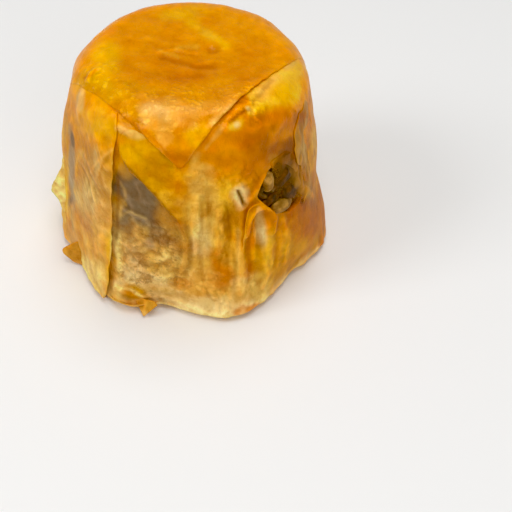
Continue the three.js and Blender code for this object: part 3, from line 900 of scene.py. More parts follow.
# Left wrap.
LEFT_PLEAT = kept_to(
    LEFT_PANEL,
    Mark(Bake.ORANGE, (96, 120), (28, 24), 0, 0.95, 0.35, on=ON_WALL),
    Mark(Bake.BUTTER, (98, 122), (18, 12), 20, 0.45, 0.7, 0.7, on=ON_WALL),
    Mark(Bake.GOLD, (80, 130), (8, 16), 0, 0.4, on=ON_WALL),
    Mark(Bake.YELLOW, (104, 128), (12, 10), 0, 0.5, 0.7, 0.6, on=ON_WALL),
    # Painted highlights: a tall pale highlight on the left shoulder and a small glint at the flap's top.
    Mark(Bake.SAND, (81, 100), (4.5, 12), 8, 0.9, 0.5, on=ON_WALL),
    Mark(Bake.SAND, (123, 130), (7, 3), 20, 0.7, on=ON_WALL),
    Mark(Bake.TAN, (95, 194), (19, 40), -4, 0.95, 0.4),
    Mark(Bake.SAND, (84, 184), (16, 34), -6, 0.45, 0.7, 0.7),
    Mark(Bake.STRAW, (90, 196), (12, 26), -6, 0.2, 0.7, 1.0),
    Mark(Bake.OCHRE, (106, 172), (8, 22), 0, 0.75, 0.6, 0.5, on=LEFT_WRAP),
    Mark(Bake.BROWN, (86, 160), (6, 20), -10, 0.45, 0.8, 0.9),
    Mark(Bake.BLUSH, (98, 224), (14, 20), 0, 0.5, 0.8, 0.8),
    Mark(Bake.AMBER, (92, 214), (10, 12), 0, 0.35, 0.8, 0.9),
    Mark(Bake.BLUSH, (90, 250), (16, 12), 30, 0.6, 0.8, 0.7),
    Mark(Bake.PALE_GOLD, (94, 272), (18, 18), 40, 0.85, 0.6, 0.6),
    Mark(Bake.STRAW, (92, 270), (8, 18), -38, 0.9, 0.8, 0.6),
    Mark(Bake.YELLOW, (110, 262), (3.5, 22), 0, 0.6, 0.7, 0.6, on=LEFT_WRAP),
    Mark(Bake.MAUVE, (71.5, 168), (3.2, 42), -1, 0.95, 0.5, 0.4),
    Mark(Bake.SMOKE, (72.5, 140), (1.6, 7), -8, 0.95, 0.5),
    Mark(Bake.SMOKE, (70, 201), (2.5, 5), 0, 0.8),
    Mark(Bake.BUTTER, (64.5, 180), (3.0, 56), 0, 0.95, 0.4),
    Mark(Bake.OLIVE, (66, 140), (2.4, 26), 0, 0.8, 0.5),
    # Painted highlight along the lit edge of the left wrap.
    Line(Bake.STRAW, ((116, 150), (115, 190), (113, 240), (111, 286)), 1.3, 0.8, on=LEFT_WRAP),
    Line(Bake.SAND, ((88, 166), (94, 178), (100, 196)), 0.9, 0.6),
    Line(Bake.SAND, ((94, 160), (101, 174), (107, 190)), 0.8, 0.5),
    Line(Bake.SAND, ((78, 150), (84, 160), (88, 174)), 0.8, 0.5),
    Line(Bake.SAND, ((112, 150), (103, 158), (96, 170)), 0.9, 0.4, on=LEFT_WRAP),
    Line(Bake.BROWN, ((110, 156), (102, 166), (97, 180)), 0.9, 0.45, on=LEFT_WRAP),
    Line(Bake.BROWN, ((91, 168), (96, 182), (101, 198)), 0.8, 0.4),
)

# Dark triangle, where the pastry is thin over the filling, and the crumpled skin below it.
DARK_TRIANGLE = kept_to(
    SKIN,
    Mark(Bake.SAND, (150, 244), (40, 62), -8, 0.95, 0.3),
    Mark(Bake.SMOKE, (134, 194), (18, 30), -30, 1.0, 0.35, 0.3),
    Mark(Bake.SMOKE, (140, 213), (24, 13), 14, 0.95, 0.45, 0.7),
    Mark(Bake.SMOKE, (161, 236), (14, 12), 10, 0.8, 0.6, 1.0),
    Mark(Bake.BROWN, (130, 227), (9, 9), 0, 0.6, 0.6, 0.9),
    Mark(Bake.UMBER, (156, 216), (7, 9), -30, 0.4, 0.7, 0.8),
    Mark(Bake.SMOKE, (130, 228), (9, 9), 0, 0.6, 0.6, 1.0),
    Mark(Bake.OCHRE, (168, 221), (7, 14), -32, 0.7, 0.7, 0.7),
    Mark(Bake.BROWN, (148, 254), (22, 15), 0, 0.45, 0.8, 1.2),
    Mark(Bake.MAUVE, (138, 262), (16, 14), 20, 0.4, 0.8, 1.2),
    Mark(Bake.PALE_GOLD, (166, 264), (17, 13), 0, 0.8, 0.7, 0.8),
    Mark(Bake.CREAM, (138, 277), (22, 10), 15, 0.5, 0.7, 0.9),
    Mark(Bake.STRAW, (119, 264), (3.2, 24), 0, 0.8, 0.6),
    Mark(Bake.OCHRE, (125, 171), (5, 7), -20, 0.5, 0.6, 0.6),
    Line(Bake.SAND, ((120, 182), (125, 190), (124, 200)), 1.0, 0.3),
    Line(Bake.SAND, ((121, 216), (130, 212), (140, 216), (146, 219)), 0.9, 0.4),
    # Painted shadow beside the left wrap's raised edge.
    Line(Bake.UMBER, ((118, 176), (118, 205), (117, 238)), 1.3, 0.55),
)

# Front sheet, low.
LOW_FRONT = (
    Mark(Bake.PALE_GOLD, (202, 228), (17, 48), 0, 0.95, 0.5, 0.4),
    Mark(Bake.CREAM, (201, 240), (8, 18), 4, 0.6, 0.7, 0.7),
    Mark(Bake.OCHRE, (206, 209), (17, 10), 0, 0.85, 0.7, 0.7),
    Mark(Bake.STRAW, (201, 237), (7, 10), 0, 0.55, 0.7, 0.7),
    Mark(Bake.MAUVE, (192, 244), (3, 7), 0, 0.35, 0.6, 0.8),
    Mark(Bake.BROWN, (232, 214), (9, 14), 4, 0.75, 0.7, 0.8),
    Line(Bake.UMBER, ((227, 208), (229, 224), (228, 238)), 1.2, 0.35),
    Line(Bake.OCHRE, ((219, 214), (220, 236), (218, 250)), 1.8, 0.5),
    Mark(Bake.OCHRE, (222, 270), (13, 16), 0, 0.75, 0.7, 0.8),
    Mark(Bake.AMBER, (222, 270), (9, 11), 0, 0.8, 0.8, 0.9),
    Mark(Bake.OCHRE, (240, 246), (4, 20), 2, 0.6, 0.7, 0.5),
    Line(Bake.PALE_GOLD, ((238, 230), (239, 250), (238, 276)), 1.4, 0.8),
    Line(Bake.DEEP_ORANGE, ((249, 222), (249, 244), (250, 262), (248, 276)), 4.0, 0.85),
    Line(Bake.CARAMEL, ((181, 224), (185, 240), (187, 254), (184, 266), (180, 275)), 4.2, 0.9),
    Mark(Bake.STRAW, (166, 263), (8, 10), 0, 0.6, 0.7, 0.7, on=SKIN),
    Mark(Bake.PALE_GOLD, (145, 233), (6, 5), 0, 0.6, 0.7, 0.9, on=SKIN),
    Mark(Bake.OCHRE, (200, 290), (12, 7), 0, 0.7, 0.7, 0.8),
    Mark(Bake.BLUSH, (190, 282), (22, 18), 0, 0.5, 0.7, 0.9),
    Mark(Bake.CREAM, (244, 293), (10, 13), 0, 0.7, 0.7, 0.8),
    Mark(Bake.CREAM, (206, 303), (30, 6), 8, 0.6, 0.7, 0.8),
    Mark(Bake.STRAW, (256, 296), (9, 9), 0, 0.8, 0.7, 0.7),
    Mark(Bake.OCHRE, (225, 227), (4, 8), 0, 0.6, 0.7, 0.7),
    Mark(Bake.AMBER, (184, 284), (8, 5), 0, 0.5, 0.7, 0.9),
    Mark(Bake.PALE_GOLD, (252, 295), (16, 13), -20, 0.9, 0.7, 0.7),
    Line(Bake.AMBER, ((253, 222), (252, 234), (253, 248)), 2.4, 0.8),
    Mark(Bake.RUST, (261, 268), (5.5, 7.5), 0, 0.5, 0.7, 0.7),
    Mark(Bake.BUTTER, (274, 250), (12, 24), 6, 0.6, 0.6, 0.5),
    Line(Bake.CREAM, ((117, 284), (132, 292), (150, 297), (180, 304), (205, 311), (232, 314),
         (252, 304)), 4.2, 0.85, on=HEM),
    Line(Bake.CREAM, ((160, 303), (180, 308), (200, 315), (222, 318), (245, 315), (260, 303), (280, 283),
         (300, 264), (318, 248)), 1.6, 0.55, on=ON_WALL),
    Mark(Bake.AMBER, (250, 309), (10, 4), -22, 0.85, 0.6, 0.8),
    Mark(Bake.CREAM, (240, 196), (9, 8), 30, 0.75, 0.7, 0.6),
    # Painted shade in the slit.
    Line(Bake.SHADE, ((238, 191), (241, 197), (243, 203)), 1.0, 1.0),
    Line(Bake.AMBER, ((249, 198), (256, 188), (262, 177)), 2.6, 0.8, on=SKIN),
)

# Arched fold.
ARCHED_FOLD = (
    Mark(Bake.DEEP_ORANGE, (262, 214), (15, 16), 10, 0.9, 0.4),
    Line(Bake.ORANGE, ((249, 224), (252, 213), (259, 205), (268, 208), (273, 219)), 2.4, 0.7),
    # Painted highlight: the glossy pale streak inside the fold.
    Mark(Bake.PALE_GOLD, (260, 228), (5.5, 17), -6, 0.9, 0.7, 0.4),
    Mark(Bake.CREAM, (261, 231), (4.2, 15), -4, 1.0, 0.7, 0.3),
    Mark(Bake.HONEY, (262, 254), (8, 10), 0, 0.7, 0.7, 0.6),
)

# Swelling below the hole, and the sheet round the right side.
RIGHT_SIDE = kept_to(
    RIGHT,
    Mark(Bake.RUST, (300, 212), (14, 14), 10, 0.6, 0.7, 0.7, on=ANY_LAYER),
    Mark(Bake.ORANGE, (281, 240), (7, 18), 6, 0.6, 0.7, 0.7, on=ANY_LAYER),
    Mark(Bake.CARAMEL, (308, 146), (13, 50), 0, 0.95, 0.4, 0.4),
    Mark(Bake.BROWN, (309, 180), (9, 12), 0, 0.7, 0.7, 0.6),
    Mark(Bake.RUST, (300, 117), (6, 6), 0, 1.0, 0.6, 0.5),
    Mark(Bake.BROWN, (308, 130), (8, 20), 0, 0.6, 0.7, 0.8),
    Line(Bake.SAND, ((306, 120), (304, 142), (308, 168), (312, 186)), 1.0, 0.6),
    Line(Bake.SAND, ((313, 125), (314, 160), (316, 190)), 1.2, 0.6),
    Line(Bake.BROWN, ((309, 122), (309, 150), (312, 184)), 1.3, 0.6),
    Mark(Bake.AMBER, (314, 218), (9, 22), 0, 0.8),
)

# Turned lip, loose flap and fin.
LOOSE_ENDS = kept_to(
    FLAKE,
    Mark(Bake.STRAW, (62, 190), (18, 60), 0, 1.0, 0.2),
    Mark(Bake.OCHRE, (74, 251), (12, 10), 40, 0.9, 0.3),
    Mark(Bake.OCHRE, (149, 308), (14, 9), 0, 0.9, 0.3),
    Mark(Bake.PALE_GOLD, (140, 300), (34, 9), 12, 0.9, 0.3, on=LIP),
    # Painted shade inside the pocket under the hem: a darker gold with brown.
    Mark(Bake.OLIVE, (134, 294), (15, 7), 22, 0.95, 0.4, 0.3, on=SKIN),
    Mark(Bake.BROWN, (128, 293), (8, 5), 22, 0.5, 0.6, 0.4, on=SKIN),
    Line(Bake.STRAW, ((117, 285), (120, 288), (130, 290), (142, 297)), 1.2, 0.8, on=SKIN),
)

# Effects; the blister marks also place painted glints on the blister domes.
EFFECTS = (
    Mark(Effect.GLOSS, (190, 60), (130, 70), 0, 0.75, 0.3, 0.1),
    Mark(Effect.GLOSS, (200, 130), (120, 50), 0, 0.5, 0.4, 0.1),
    Mark(Effect.BLISTER, (104, 88), (28, 20), 28, 1.0, on=CAP),
    Mark(Effect.BLISTER, (165, 112), (74, 22), 0, 1.0, on=CAP),
    Mark(Effect.BLISTER, (235, 108), (32, 18), -20, 1.0),
    Mark(Effect.BLISTER, (210, 186), (40, 18), 0, 0.6),
    Mark(Effect.BLISTER, (190, 285), (60, 22), 0, 0.5),
    Mark(Effect.CRACKLE, (152, 262), (38, 38), 0, 1.0, on=SKIN),
    Mark(Effect.STREAK, (220, 230), (38, 34), 0, 0.7),
    Mark(Effect.STREAK, (93, 236), (24, 40), 0, 0.25, on=LEFT_PANEL),
    Mark(Effect.SLANT, (90, 182), (22, 46), 0, 1.0, 0.5, on=LEFT_PANEL),
    Mark(Effect.STREAK, (308, 150), (12, 50), 0, 0.6),
)
MARKS: tuple[Mark | Line, ...] = (
    *WALL_TONES, *TOP_SHEET, *RIGHT_OF_CORNER, *ROUNDED_FLAP, *LEFT_PLEAT, *DARK_TRIANGLE,
    *LOW_FRONT, *ARCHED_FOLD, *RIGHT_SIDE, *LOOSE_ENDS, *EFFECTS,
)

# Folds that the picture shows, the large ones first.
CREASES = (
    Crease(((158, 52), (178, 48), (196, 50)), 0.22, 0.9),
    Crease(((162, 57), (182, 61), (198, 65), (214, 66)), -0.3, 1.4),
    Crease(((196, 62), (206, 60), (214, 58), (222, 60)), 0.15, 0.9),
    Crease(((88, 79), (92, 74), (97, 71)), 0.7, 0.8),
    Crease(((82, 92), (80, 102), (79, 110)), 0.5, 1.4),
    Crease(((226, 128), (232, 118), (240, 109), (250, 104)), 0.8, 1.1),
    Crease(((247, 112), (258, 96), (272, 80)), -0.4, 1.0),
    Crease(((118, 127), (124, 129), (130, 133)), 0.6, 0.9),
    Crease(((238, 191), (241, 197), (243, 203)), -1.0, 0.6),
    Crease(((240, 205), (241, 235), (240, 262), (238, 288)), 0.6, 1.0),
    Crease(((228, 205), (228, 235), (226, 260)), -0.5, 1.2),
    Crease(((196, 195), (194, 220), (195, 250)), 0.5, 1.4),
    Crease(((208, 190), (209, 215), (207, 245)), -0.4, 1.2),
    Crease(((246, 216), (247, 236), (246, 256)), -0.6, 1.0),
    Crease(((253, 222), (254, 240), (253, 258)), 0.5, 0.9),
    Crease(((264, 262), (268, 274), (262, 286)), 0.4, 1.0),
    Crease(((88, 152), (96, 166), (104, 184)), 0.2, 0.8),
    Crease(((84, 164), (92, 180), (97, 196)), -0.2, 0.8),
    Crease(((124, 208), (134, 214), (146, 220)), 0.45, 0.8),
    Crease(((126, 190), (132, 204), (134, 218)), 0.35, 0.8),
    Crease(((137, 236), (150, 244), (165, 246)), 0.4, 0.9),
    Crease(((140, 262), (156, 268), (170, 264)), -0.4, 0.9),
    Crease(((294, 180), (302, 188), (312, 196)), 0.5, 1.0),
    Crease(((181, 222), (186, 238), (187, 252), (184, 266), (179, 276)), 0.9, 1.1),
    Crease(((117, 286), (150, 300), (180, 306), (205, 312), (232, 314)), 0.45, 1.3),
    Crease(((218, 210), (219, 232), (217, 252)), 0.45, 0.9),
    Crease(((249, 222), (248, 244), (250, 262), (247, 278)), -0.5, 0.9),
    Crease(((201, 196), (202, 222), (200, 252), (203, 280)), -0.35, 0.9),
    Crease(((188, 226), (190, 246), (189, 268)), -0.35, 0.8),
    Crease(((112, 150), (103, 158), (96, 170)), 0.2, 0.6),
    Crease(((88, 166), (94, 178), (100, 196)), 0.25, 0.6),
    Crease(((120, 240), (130, 246), (140, 244)), 0.35, 0.7),
    Crease(((128, 252), (142, 256), (152, 252), (160, 256)), -0.35, 0.7),
    Crease(((150, 276), (164, 280), (176, 276)), 0.35, 0.8),
    Crease(((230, 122), (236, 116), (244, 110)), -0.7, 0.7),
    Crease(((250, 196), (257, 186), (263, 176)), 0.8, 1.0),
    Crease(((272, 222), (276, 240), (276, 262)), -0.4, 1.0),
    Crease(((282, 218), (288, 240), (286, 262)), 0.35, 1.0),
    Crease(((203, 3), (206, 8)), -0.7, 1.6),
    Crease(((246, 232), (248, 216), (254, 206), (260, 203), (268, 207), (273, 218), (272, 230)), 1.8, 1.0),
    Crease(((259, 216), (261, 230), (260, 244)), -1.0, 1.5),
    Crease(((126, 60), (150, 72), (184, 76), (214, 72)), -0.15, 2.0),
    Crease(((150, 34), (180, 36), (204, 32)), 0.12, 1.5),
)

# Patches of crumpled skin.
CRUMPLES = (
    Crumple((150, 254), (34, 38), -0.55, (3.2, 3.2, 3.6)),
    Crumple((136, 200), (20, 34), 0.4, (6, 6, 8)),
    Crumple((222, 236), (38, 44), -0.5, (4.2, 4.2, 18)),
    Crumple((216, 290), (60, 22), -0.3, (4, 4, 6)),
    Crumple((95, 172), (24, 36), 0.15, (3.2, 3.2, 8)),
    Crumple((306, 150), (18, 60), -0.6, (5, 5, 20)),
    Crumple((228, 180), (40, 22), -0.3, (4, 4, 6)),
    Crumple((250, 112), (22, 16), 0.6, (5, 5, 5)),
    Crumple((280, 240), (26, 44), -0.25, (5, 5, 12)),
)


@dataclass(frozen=True)
class Wash:
    """One broad tone of the pastry before any mark, by a field and the values between which it sets in."""

    bake: Bake
    low: float
    high: float
    amount: float = 1.0

    def over(self, tint: Array, values: Array) -> Array:
        """The colours with the tone laid over them."""
        return mixed(tint, self.bake, self.amount * smooth(values, self.low, self.high))


def mixed(tint: Array, bake: Bake, amount: Array) -> Array:
    """Colours mixed towards a colour of the pastry, each by its amount."""
    return tint + (linear(bake.value) - tint) * amount[:, None]


class ToastAndShadePainter:
    """Paints the pastry: where it is orange, golden, toasted, pale, or thin over the dark filling, with
    painted shade in its hollows and painted highlights on its crests.
    """

    SEEN = (-0.35, 0.0)
    GRITS = tuple(Grain(1, 5.5, 100 + k, 4) for k in range(5))
    SWIRL = (Grain(0.22, 11, 110, 3), Grain(0.22, 11, 111, 3))
    FRAY = (Grain(0.7, 4, 112), Grain(0.7, 4, 113))
    FINE_ROUNDS = 8
    FINE_CREST = 0.09
    FINE_SHARE = 0.55
    BROAD_ROUNDS = 45
    BROAD_CREST = 0.34
    # Strength and hues of the painted highlight on crests and the painted shade in hollows.
    RELIEF_SHADE_STRENGTH = 0.30
    CREST_HIGHLIGHT_HUE = (1.0, 1.0, 1.1)
    HOLLOW_SHADE_HUE = (0.8, 1.2, 1.6)
    LIGHTEST = 0.95
    TIDE = Grain(5, 16, 51)
    BLOTCHES = Grain(1, 13, 52, 3)
    BLOTCH_WASH = Wash(Bake.DEEP_ORANGE, -0.3, 0.35, 0.5)
    TOP_WASH = Wash(Bake.ORANGE, 52, 72)
    FOOT_WASH = Wash(Bake.SAND, -24, -4, 0.75)
    MOTTLE = (Grain(0.10, 14, 55), Grain(0.11, 5, 56, 3))
    MOTTLE_CALM = (60, 80)
    MOTTLE_CALM_SHARE = 0.5
    MOTTLE_HUE = (0.6, 1.5, 2.4)
    HIDDEN_SIDES = (
        (Bake.TAN, 0.8), (Bake.SAND, 0.7), (Bake.AMBER, 0.7), (Bake.CREAM, 0.6), (Bake.BROWN, 0.6),
        (Bake.DEEP_ORANGE, 0.8), (Bake.SMOKE, 0.55), (Bake.HONEY, 0.9), (Bake.ORANGE, 0.8),
    )
    HIDDEN_COUNT = 46
    HIDDEN_SEED = 31
    HIDDEN_HEIGHT = (6, 66)
    HIDDEN_WIDE = (3.5, 9)
    HIDDEN_TALL = (6, 17)
    HIDDEN_GRITS = tuple(Grain(0.5, 6, 300 + k, 3) for k in range(5))
    HIDDEN_FADE = (0.4, 1.5)
    HIDDEN_WALL = (50, 72)
    HIDDEN_STREAK = 0.7
    HIDDEN_CRACKLE = 0.8
    HIDDEN_CRACKS = Grain(1, 18, 61)
    HIDDEN_CRACKS_FADE = (0.1, 0.6)
    HIDDEN_GLOSS = (0.25, 0.5)

    def __init__(self, form: DrumForm) -> None:
        """Keeps the drum's form for its measures."""
        self.form = form

    def paint(self, piece: bpy.types.Object, layer: Layer) -> None:
        """Writes the colour, with the painted shade and highlights of its relief, and the effects of one
        pastry piece as attributes.

        Args:
            piece: a finished mesh object of the crust.
            layer: which layer it is.
        """
        data = piece.data
        count = len(data.vertices)
        flat = np.empty(count * 3)
        data.vertices.foreach_get("co", flat)
        points = flat.reshape(-1, 3) / MM
        data.vertices.foreach_get("normal", flat)
        normals = flat.reshape(-1, 3).copy()
        seen = smooth(self.form.view.facing(points, normals), *self.SEEN)
        if layer in (Layer.FLAKE, Layer.LIP):
            seen = np.ones(count)
        effects = {effect: np.zeros(count) for effect in Effect}
        tint = self.hidden_sides(points, self.ground(points), 1 - seen, effects)
        tint = self.marked(points, tint, layer, seen, effects)
        tint = self.mottled(points, tint)
        # Painted light and shade of the relief: crests are lightened as painted highlights, and hollows are
        # darkened and browned as painted shade.
        fine = self.crests(data, points, normals, self.FINE_ROUNDS) / self.FINE_CREST
        broad = self.crests(data, points, normals, self.BROAD_ROUNDS) / self.BROAD_CREST
        relief_shade = self.FINE_SHARE * np.clip(fine, -1, 1) + (1 - self.FINE_SHARE) * np.clip(broad, -1, 1)
        relief_shade = (self.RELIEF_SHADE_STRENGTH * relief_shade)[:, None]
        tint = tint * np.exp(relief_shade * np.where(relief_shade > 0, self.CREST_HIGHLIGHT_HUE, self.HOLLOW_SHADE_HUE))
        # The tint attribute holds the pastry's colour together with its painted highlights and painted shade.
        write_attribute(data, "tint", np.column_stack([np.clip(tint, 0, self.LIGHTEST), np.ones(count)]))
        for effect, amount in effects.items():
            write_attribute(data, effect.value, amount)
        if "edge" not in data.attributes:
            write_attribute(data, "edge", np.zeros(count))

    def marked(self, points: Array, tint: Array, layer: Layer, seen: Array,
               effects: dict[Effect, Array]) -> Array:
        """Lays the picture's marks over one piece.

        Args:
            points: N x 3 places.
            tint: N x 3 colours so far.
            layer: which layer the piece is.
            seen: N shares of this painting.
            effects: amounts of the effects, changed in place.

        Returns:
            The new colours.
        """
        pixels = self.form.view.to_pixels(points)
        grits = [grain.at(points) for grain in self.GRITS]
        swirl = np.column_stack([grain.at(points) for grain in self.SWIRL])
        fray = np.column_stack([grain.at(points) for grain in self.FRAY])
        for number, mark in enumerate(MARKS):
            if mark.on and layer not in mark.on:
                continue
            shift = fray if isinstance(mark, Line) else min(mark.size) * swirl
            amount = mark.mask(pixels + shift, grits[number % len(grits)]) * seen
            if isinstance(mark.what, Effect):
                effects[mark.what] = np.maximum(effects[mark.what], amount)
            else:
                tint = mixed(tint, mark.what, amount)
        return tint

    def ground(self, points: Array) -> Array:
        """Colours before any mark: an orange top that fades into a golden wall and a paler foot."""
        height = points[:, 2] + self.TIDE.at(points)
        tint = np.broadcast_to(linear(Bake.GOLD.value), (len(points), 3))
        tint = self.BLOTCH_WASH.over(tint, self.BLOTCHES.pattern(points))
        tint = self.TOP_WASH.over(tint, height)
        return self.FOOT_WASH.over(tint, -height)

    @staticmethod
    def crests(data: bpy.types.Mesh, points: Array, normals: Array, rounds: int) -> Array:
        """How far each point stands out of its smoothed surroundings.

        Args:
            data: the mesh, for its edges.
            points: N x 3 places.
            normals: N x 3 directions.
            rounds: how often the surroundings are smoothed.

        Returns:
            N heights in millimetres, negative in hollows.
        """
        ends = np.empty(len(data.edges) * 2, dtype=np.int64)
        data.edges.foreach_get("vertices", ends)
        a, b = ends.reshape(-1, 2).T
        count = len(points)
        degree = np.bincount(a, minlength=count) + np.bincount(b, minlength=count)
        smoothed = points
        for _ in range(rounds):
            total = np.column_stack([
                np.bincount(a, smoothed[b, k], count) + np.bincount(b, smoothed[a, k], count)
                for k in range(3)])
            smoothed = 0.5 * smoothed + 0.5 * total / degree[:, None]
        return np.einsum("ij,ij->i", points - smoothed, normals)

    def mottled(self, points: Array, tint: Array) -> Array:
        """Uneven browning: darker places turn amber and lighter ones yellow."""
        toast = sum(grain.at(points) for grain in self.MOTTLE)
        toast = toast * (1 - self.MOTTLE_CALM_SHARE * smooth(points[:, 2], *self.MOTTLE_CALM))
        return tint * np.column_stack([1 + share * toast for share in self.MOTTLE_HUE])

    def hidden_sides(self, points: Array, tint: Array, amount: Array, effects: dict[Effect, Array]) -> Array:
        """Toasts the sides that the picture doesn't show, in the manner of those that it shows.

        Args:
            points: N x 3 places.
            tint: N x 3 colours so far.
            amount: N shares of this painting.
            effects: amounts of the effects, changed in place.

        Returns:
            The new colours.
        """
        rng = np.random.default_rng(self.HIDDEN_SEED)
        angle = np.degrees(np.arctan2(points[:, 0], -points[:, 1]))
        grits = [grain.at(points) for grain in self.HIDDEN_GRITS]
        for number in range(self.HIDDEN_COUNT):
            bake, strength = self.HIDDEN_SIDES[number % len(self.HIDDEN_SIDES)]
            at, height = rng.uniform(-180, 180), rng.uniform(*self.HIDDEN_HEIGHT)
            wide, tall = rng.uniform(*self.HIDDEN_WIDE), rng.uniform(*self.HIDDEN_TALL)
            across = turn_between(angle, at) * MM_PER_DEGREE / wide
            reach = np.hypot(across, (points[:, 2] - height) / tall) + grits[number % len(grits)]
            tint = mixed(tint, bake, strength * (1 - smooth(reach, *self.HIDDEN_FADE)) * amount)
        wall = 1 - smooth(points[:, 2], *self.HIDDEN_WALL)
        cracks = smooth(self.HIDDEN_CRACKS.pattern(points), *self.HIDDEN_CRACKS_FADE)
        low, more = self.HIDDEN_GLOSS
        added = {
            Effect.STREAK: amount * wall * self.HIDDEN_STREAK,
            Effect.CRACKLE: amount * wall * self.HIDDEN_CRACKLE * cracks,
            Effect.GLOSS: amount * (low + more * (1 - wall)),
        }
        for effect, share in added.items():
            effects[effect] = np.maximum(effects[effect], share)
        return tint


class Value:
    """A socket of a node, for writing shader maths as plain expressions."""

    def __init__(self, graph: "Graph", socket: bpy.types.NodeSocket) -> None:
        """Wraps an output socket of the graph."""
        self.graph = graph
        self.socket = socket

    def _math(self, operation: str, *values: "Value | float") -> "Value":
        """One Math node on the given values."""
        return self.graph.node("ShaderNodeMath", {"operation": operation}, dict(enumerate(values)))

    def __add__(self, other: "Value | float") -> "Value":
        """Sum."""
        return self._math("ADD", self, other)

    __radd__ = __add__

    def __sub__(self, other: "Value | float") -> "Value":
        """Difference."""
        return self._math("SUBTRACT", self, other)

    def __rsub__(self, other: float) -> "Value":
        """Difference from a number."""
        return self._math("SUBTRACT", other, self)

    def __mul__(self, other: "Value | float") -> "Value":
        """Product."""
        return self._math("MULTIPLY", self, other)

    __rmul__ = __mul__

    def between(self, low: float, high: float) -> "Value":
        """Smooth step from 0 at low to 1 at high."""
        settings = {"interpolation_type": "SMOOTHSTEP"}
        return self.graph.node("ShaderNodeMapRange", settings, {0: self, 1: low, 2: high, 3: 0.0, 4: 1.0})

    def mixed(self, other: tuple[float, ...], amount: "Value | float") -> "Value":
        """This colour, mixed towards another."""
        return self.graph.node("ShaderNodeMix", {"data_type": "RGBA"}, {0: amount, 6: self, 7: other}, 2)

    def toned(self, tone: Triple, amount: "Value | float") -> "Value":
        """This colour, multiplied by a tone by some amount."""
        settings = {"data_type": "RGBA", "blend_type": "MULTIPLY"}
        return self.graph.node("ShaderNodeMix", settings, {0: amount, 6: self, 7: (*tone, 1.0)}, 2)

    def touched(self, touch: "Touch", pattern: "Value", share: "Value | float") -> "Value":
        """This colour, toned where a pattern is high."""
        return self.toned(touch.tone, pattern.between(touch.low, touch.high) * share * touch.amount)

    def vein(self, width: float) -> "Value":
        """Lines where this noise crosses its middle, 1 on them."""
        return 1 - self._math("ABSOLUTE", self - 0.5).between(0.0, width)

    def shaded(self, amount: "Value | float") -> "Value":
        """This colour, times a grey."""
        return self.graph.node("ShaderNodeVectorMath", {"operation": "SCALE"}, {0: self, 3: amount})

    def stretched(self, scale: Triple) -> "Value":
        """This vector, times another."""
        return self.graph.node("ShaderNodeVectorMath", {"operation": "MULTIPLY"}, {0: self, 1: scale})


@dataclass(frozen=True)
class Touch:
    """A tone that a pattern lays over a colour, and the pattern's values between which it sets in."""

    tone: Triple
    low: float
    high: float
    amount: float


@dataclass(frozen=True)
class Pattern:
    """A shader's noise: its scale per metre, detail, roughness and twist, and how its axes are scaled."""

    scale: float
    detail: float = 3.0
    rough: float = 0.55
    twist: float = 0.0
    axes: Triple | None = None

    def on(self, graph: "Graph", place: Value) -> Value:
        """The noise at a place, from 0 to 1."""
        where = place if self.axes is None else place.stretched(self.axes)
        return graph.node("ShaderNodeTexNoise", None, {
            "Vector": where, "Scale": self.scale, "Detail": self.detail, "Roughness": self.rough,
            "Distortion": self.twist})


class Graph:
    """The node tree of one material."""

    def __init__(self, name: str) -> None:
        """Starts an empty material of that name."""
        self.material = bpy.data.materials.new(name)
        self.material.use_nodes = True
        self.tree = self.material.node_tree
        self.tree.nodes.clear()

    def node(self, kind: str, settings: dict | None = None, values: dict | None = None,
             output: int | str = 0) -> Value:
        """Adds a node.

        Args:
            kind: the node's type.
            settings: its own properties, set first.
            values: numbers, colours or Values for its inputs, by index or name.
            output: which output is given back.

        Returns:
            The output as a Value.
        """
        made = self.tree.nodes.new(kind)
        for key, setting in (settings or {}).items():
            setattr(made, key, setting)
        for key, value in (values or {}).items():
            if isinstance(value, Value):
                self.tree.links.new(value.socket, made.inputs[key])
            else:
                made.inputs[key].default_value = value
        return Value(self, made.outputs[output])

    def place(self) -> Value:
        """Object coordinates, in metres."""
        return self.node("ShaderNodeTexCoord", output="Object")

    def tilted(self, place: Value, axis: Triple, degrees: float) -> Value:
        """Coordinates turned about an axis."""
        values = {"Vector": place, "Axis": axis, "Angle": math.radians(degrees)}
        return self.node("ShaderNodeVectorRotate", {"rotation_type": "AXIS_ANGLE"}, values)

    def attribute(self, name: str, output: str = "Fac") -> Value:
        """A painted attribute of the mesh."""
        return self.node("ShaderNodeAttribute", {"attribute_name": name}, None, output)

    def bump(self, strength: float, distance: float, height: Value) -> Value:
        """A normal that is bent by a height; the distance is in metres."""
        values = {"Strength": strength, "Distance": distance, "Height": height}
        return self.node("ShaderNodeBump", None, values, "Normal")

    def finish(self, **values: object) -> bpy.types.Material:
        """Ends the tree in a Principled shader.

        Args:
            **values: numbers, colours or Values for the shader's inputs, with _ for a space in their names.

        Returns:
            The material.
        """
        inputs = {name.replace("_", " "): value for name, value in values.items()}
        shader = self.node("ShaderNodeBsdfPrincipled", None, inputs)
        out = self.tree.nodes.new("ShaderNodeOutputMaterial")
        self.tree.links.new(shader.socket, out.inputs["Surface"])
        return self.material


def colour(rgb: Sequence[float]) -> tuple[float, float, float, float]:
    """Shader colour of an 8-bit display colour."""
    r, g, b = linear(rgb)
    return float(r), float(g), float(b), 1.0


DARKER = (0.78, 0.58, 0.30)
LIGHTER = (1.10, 1.18, 1.25)
BRIGHT = (1.22, 1.36, 1.60)


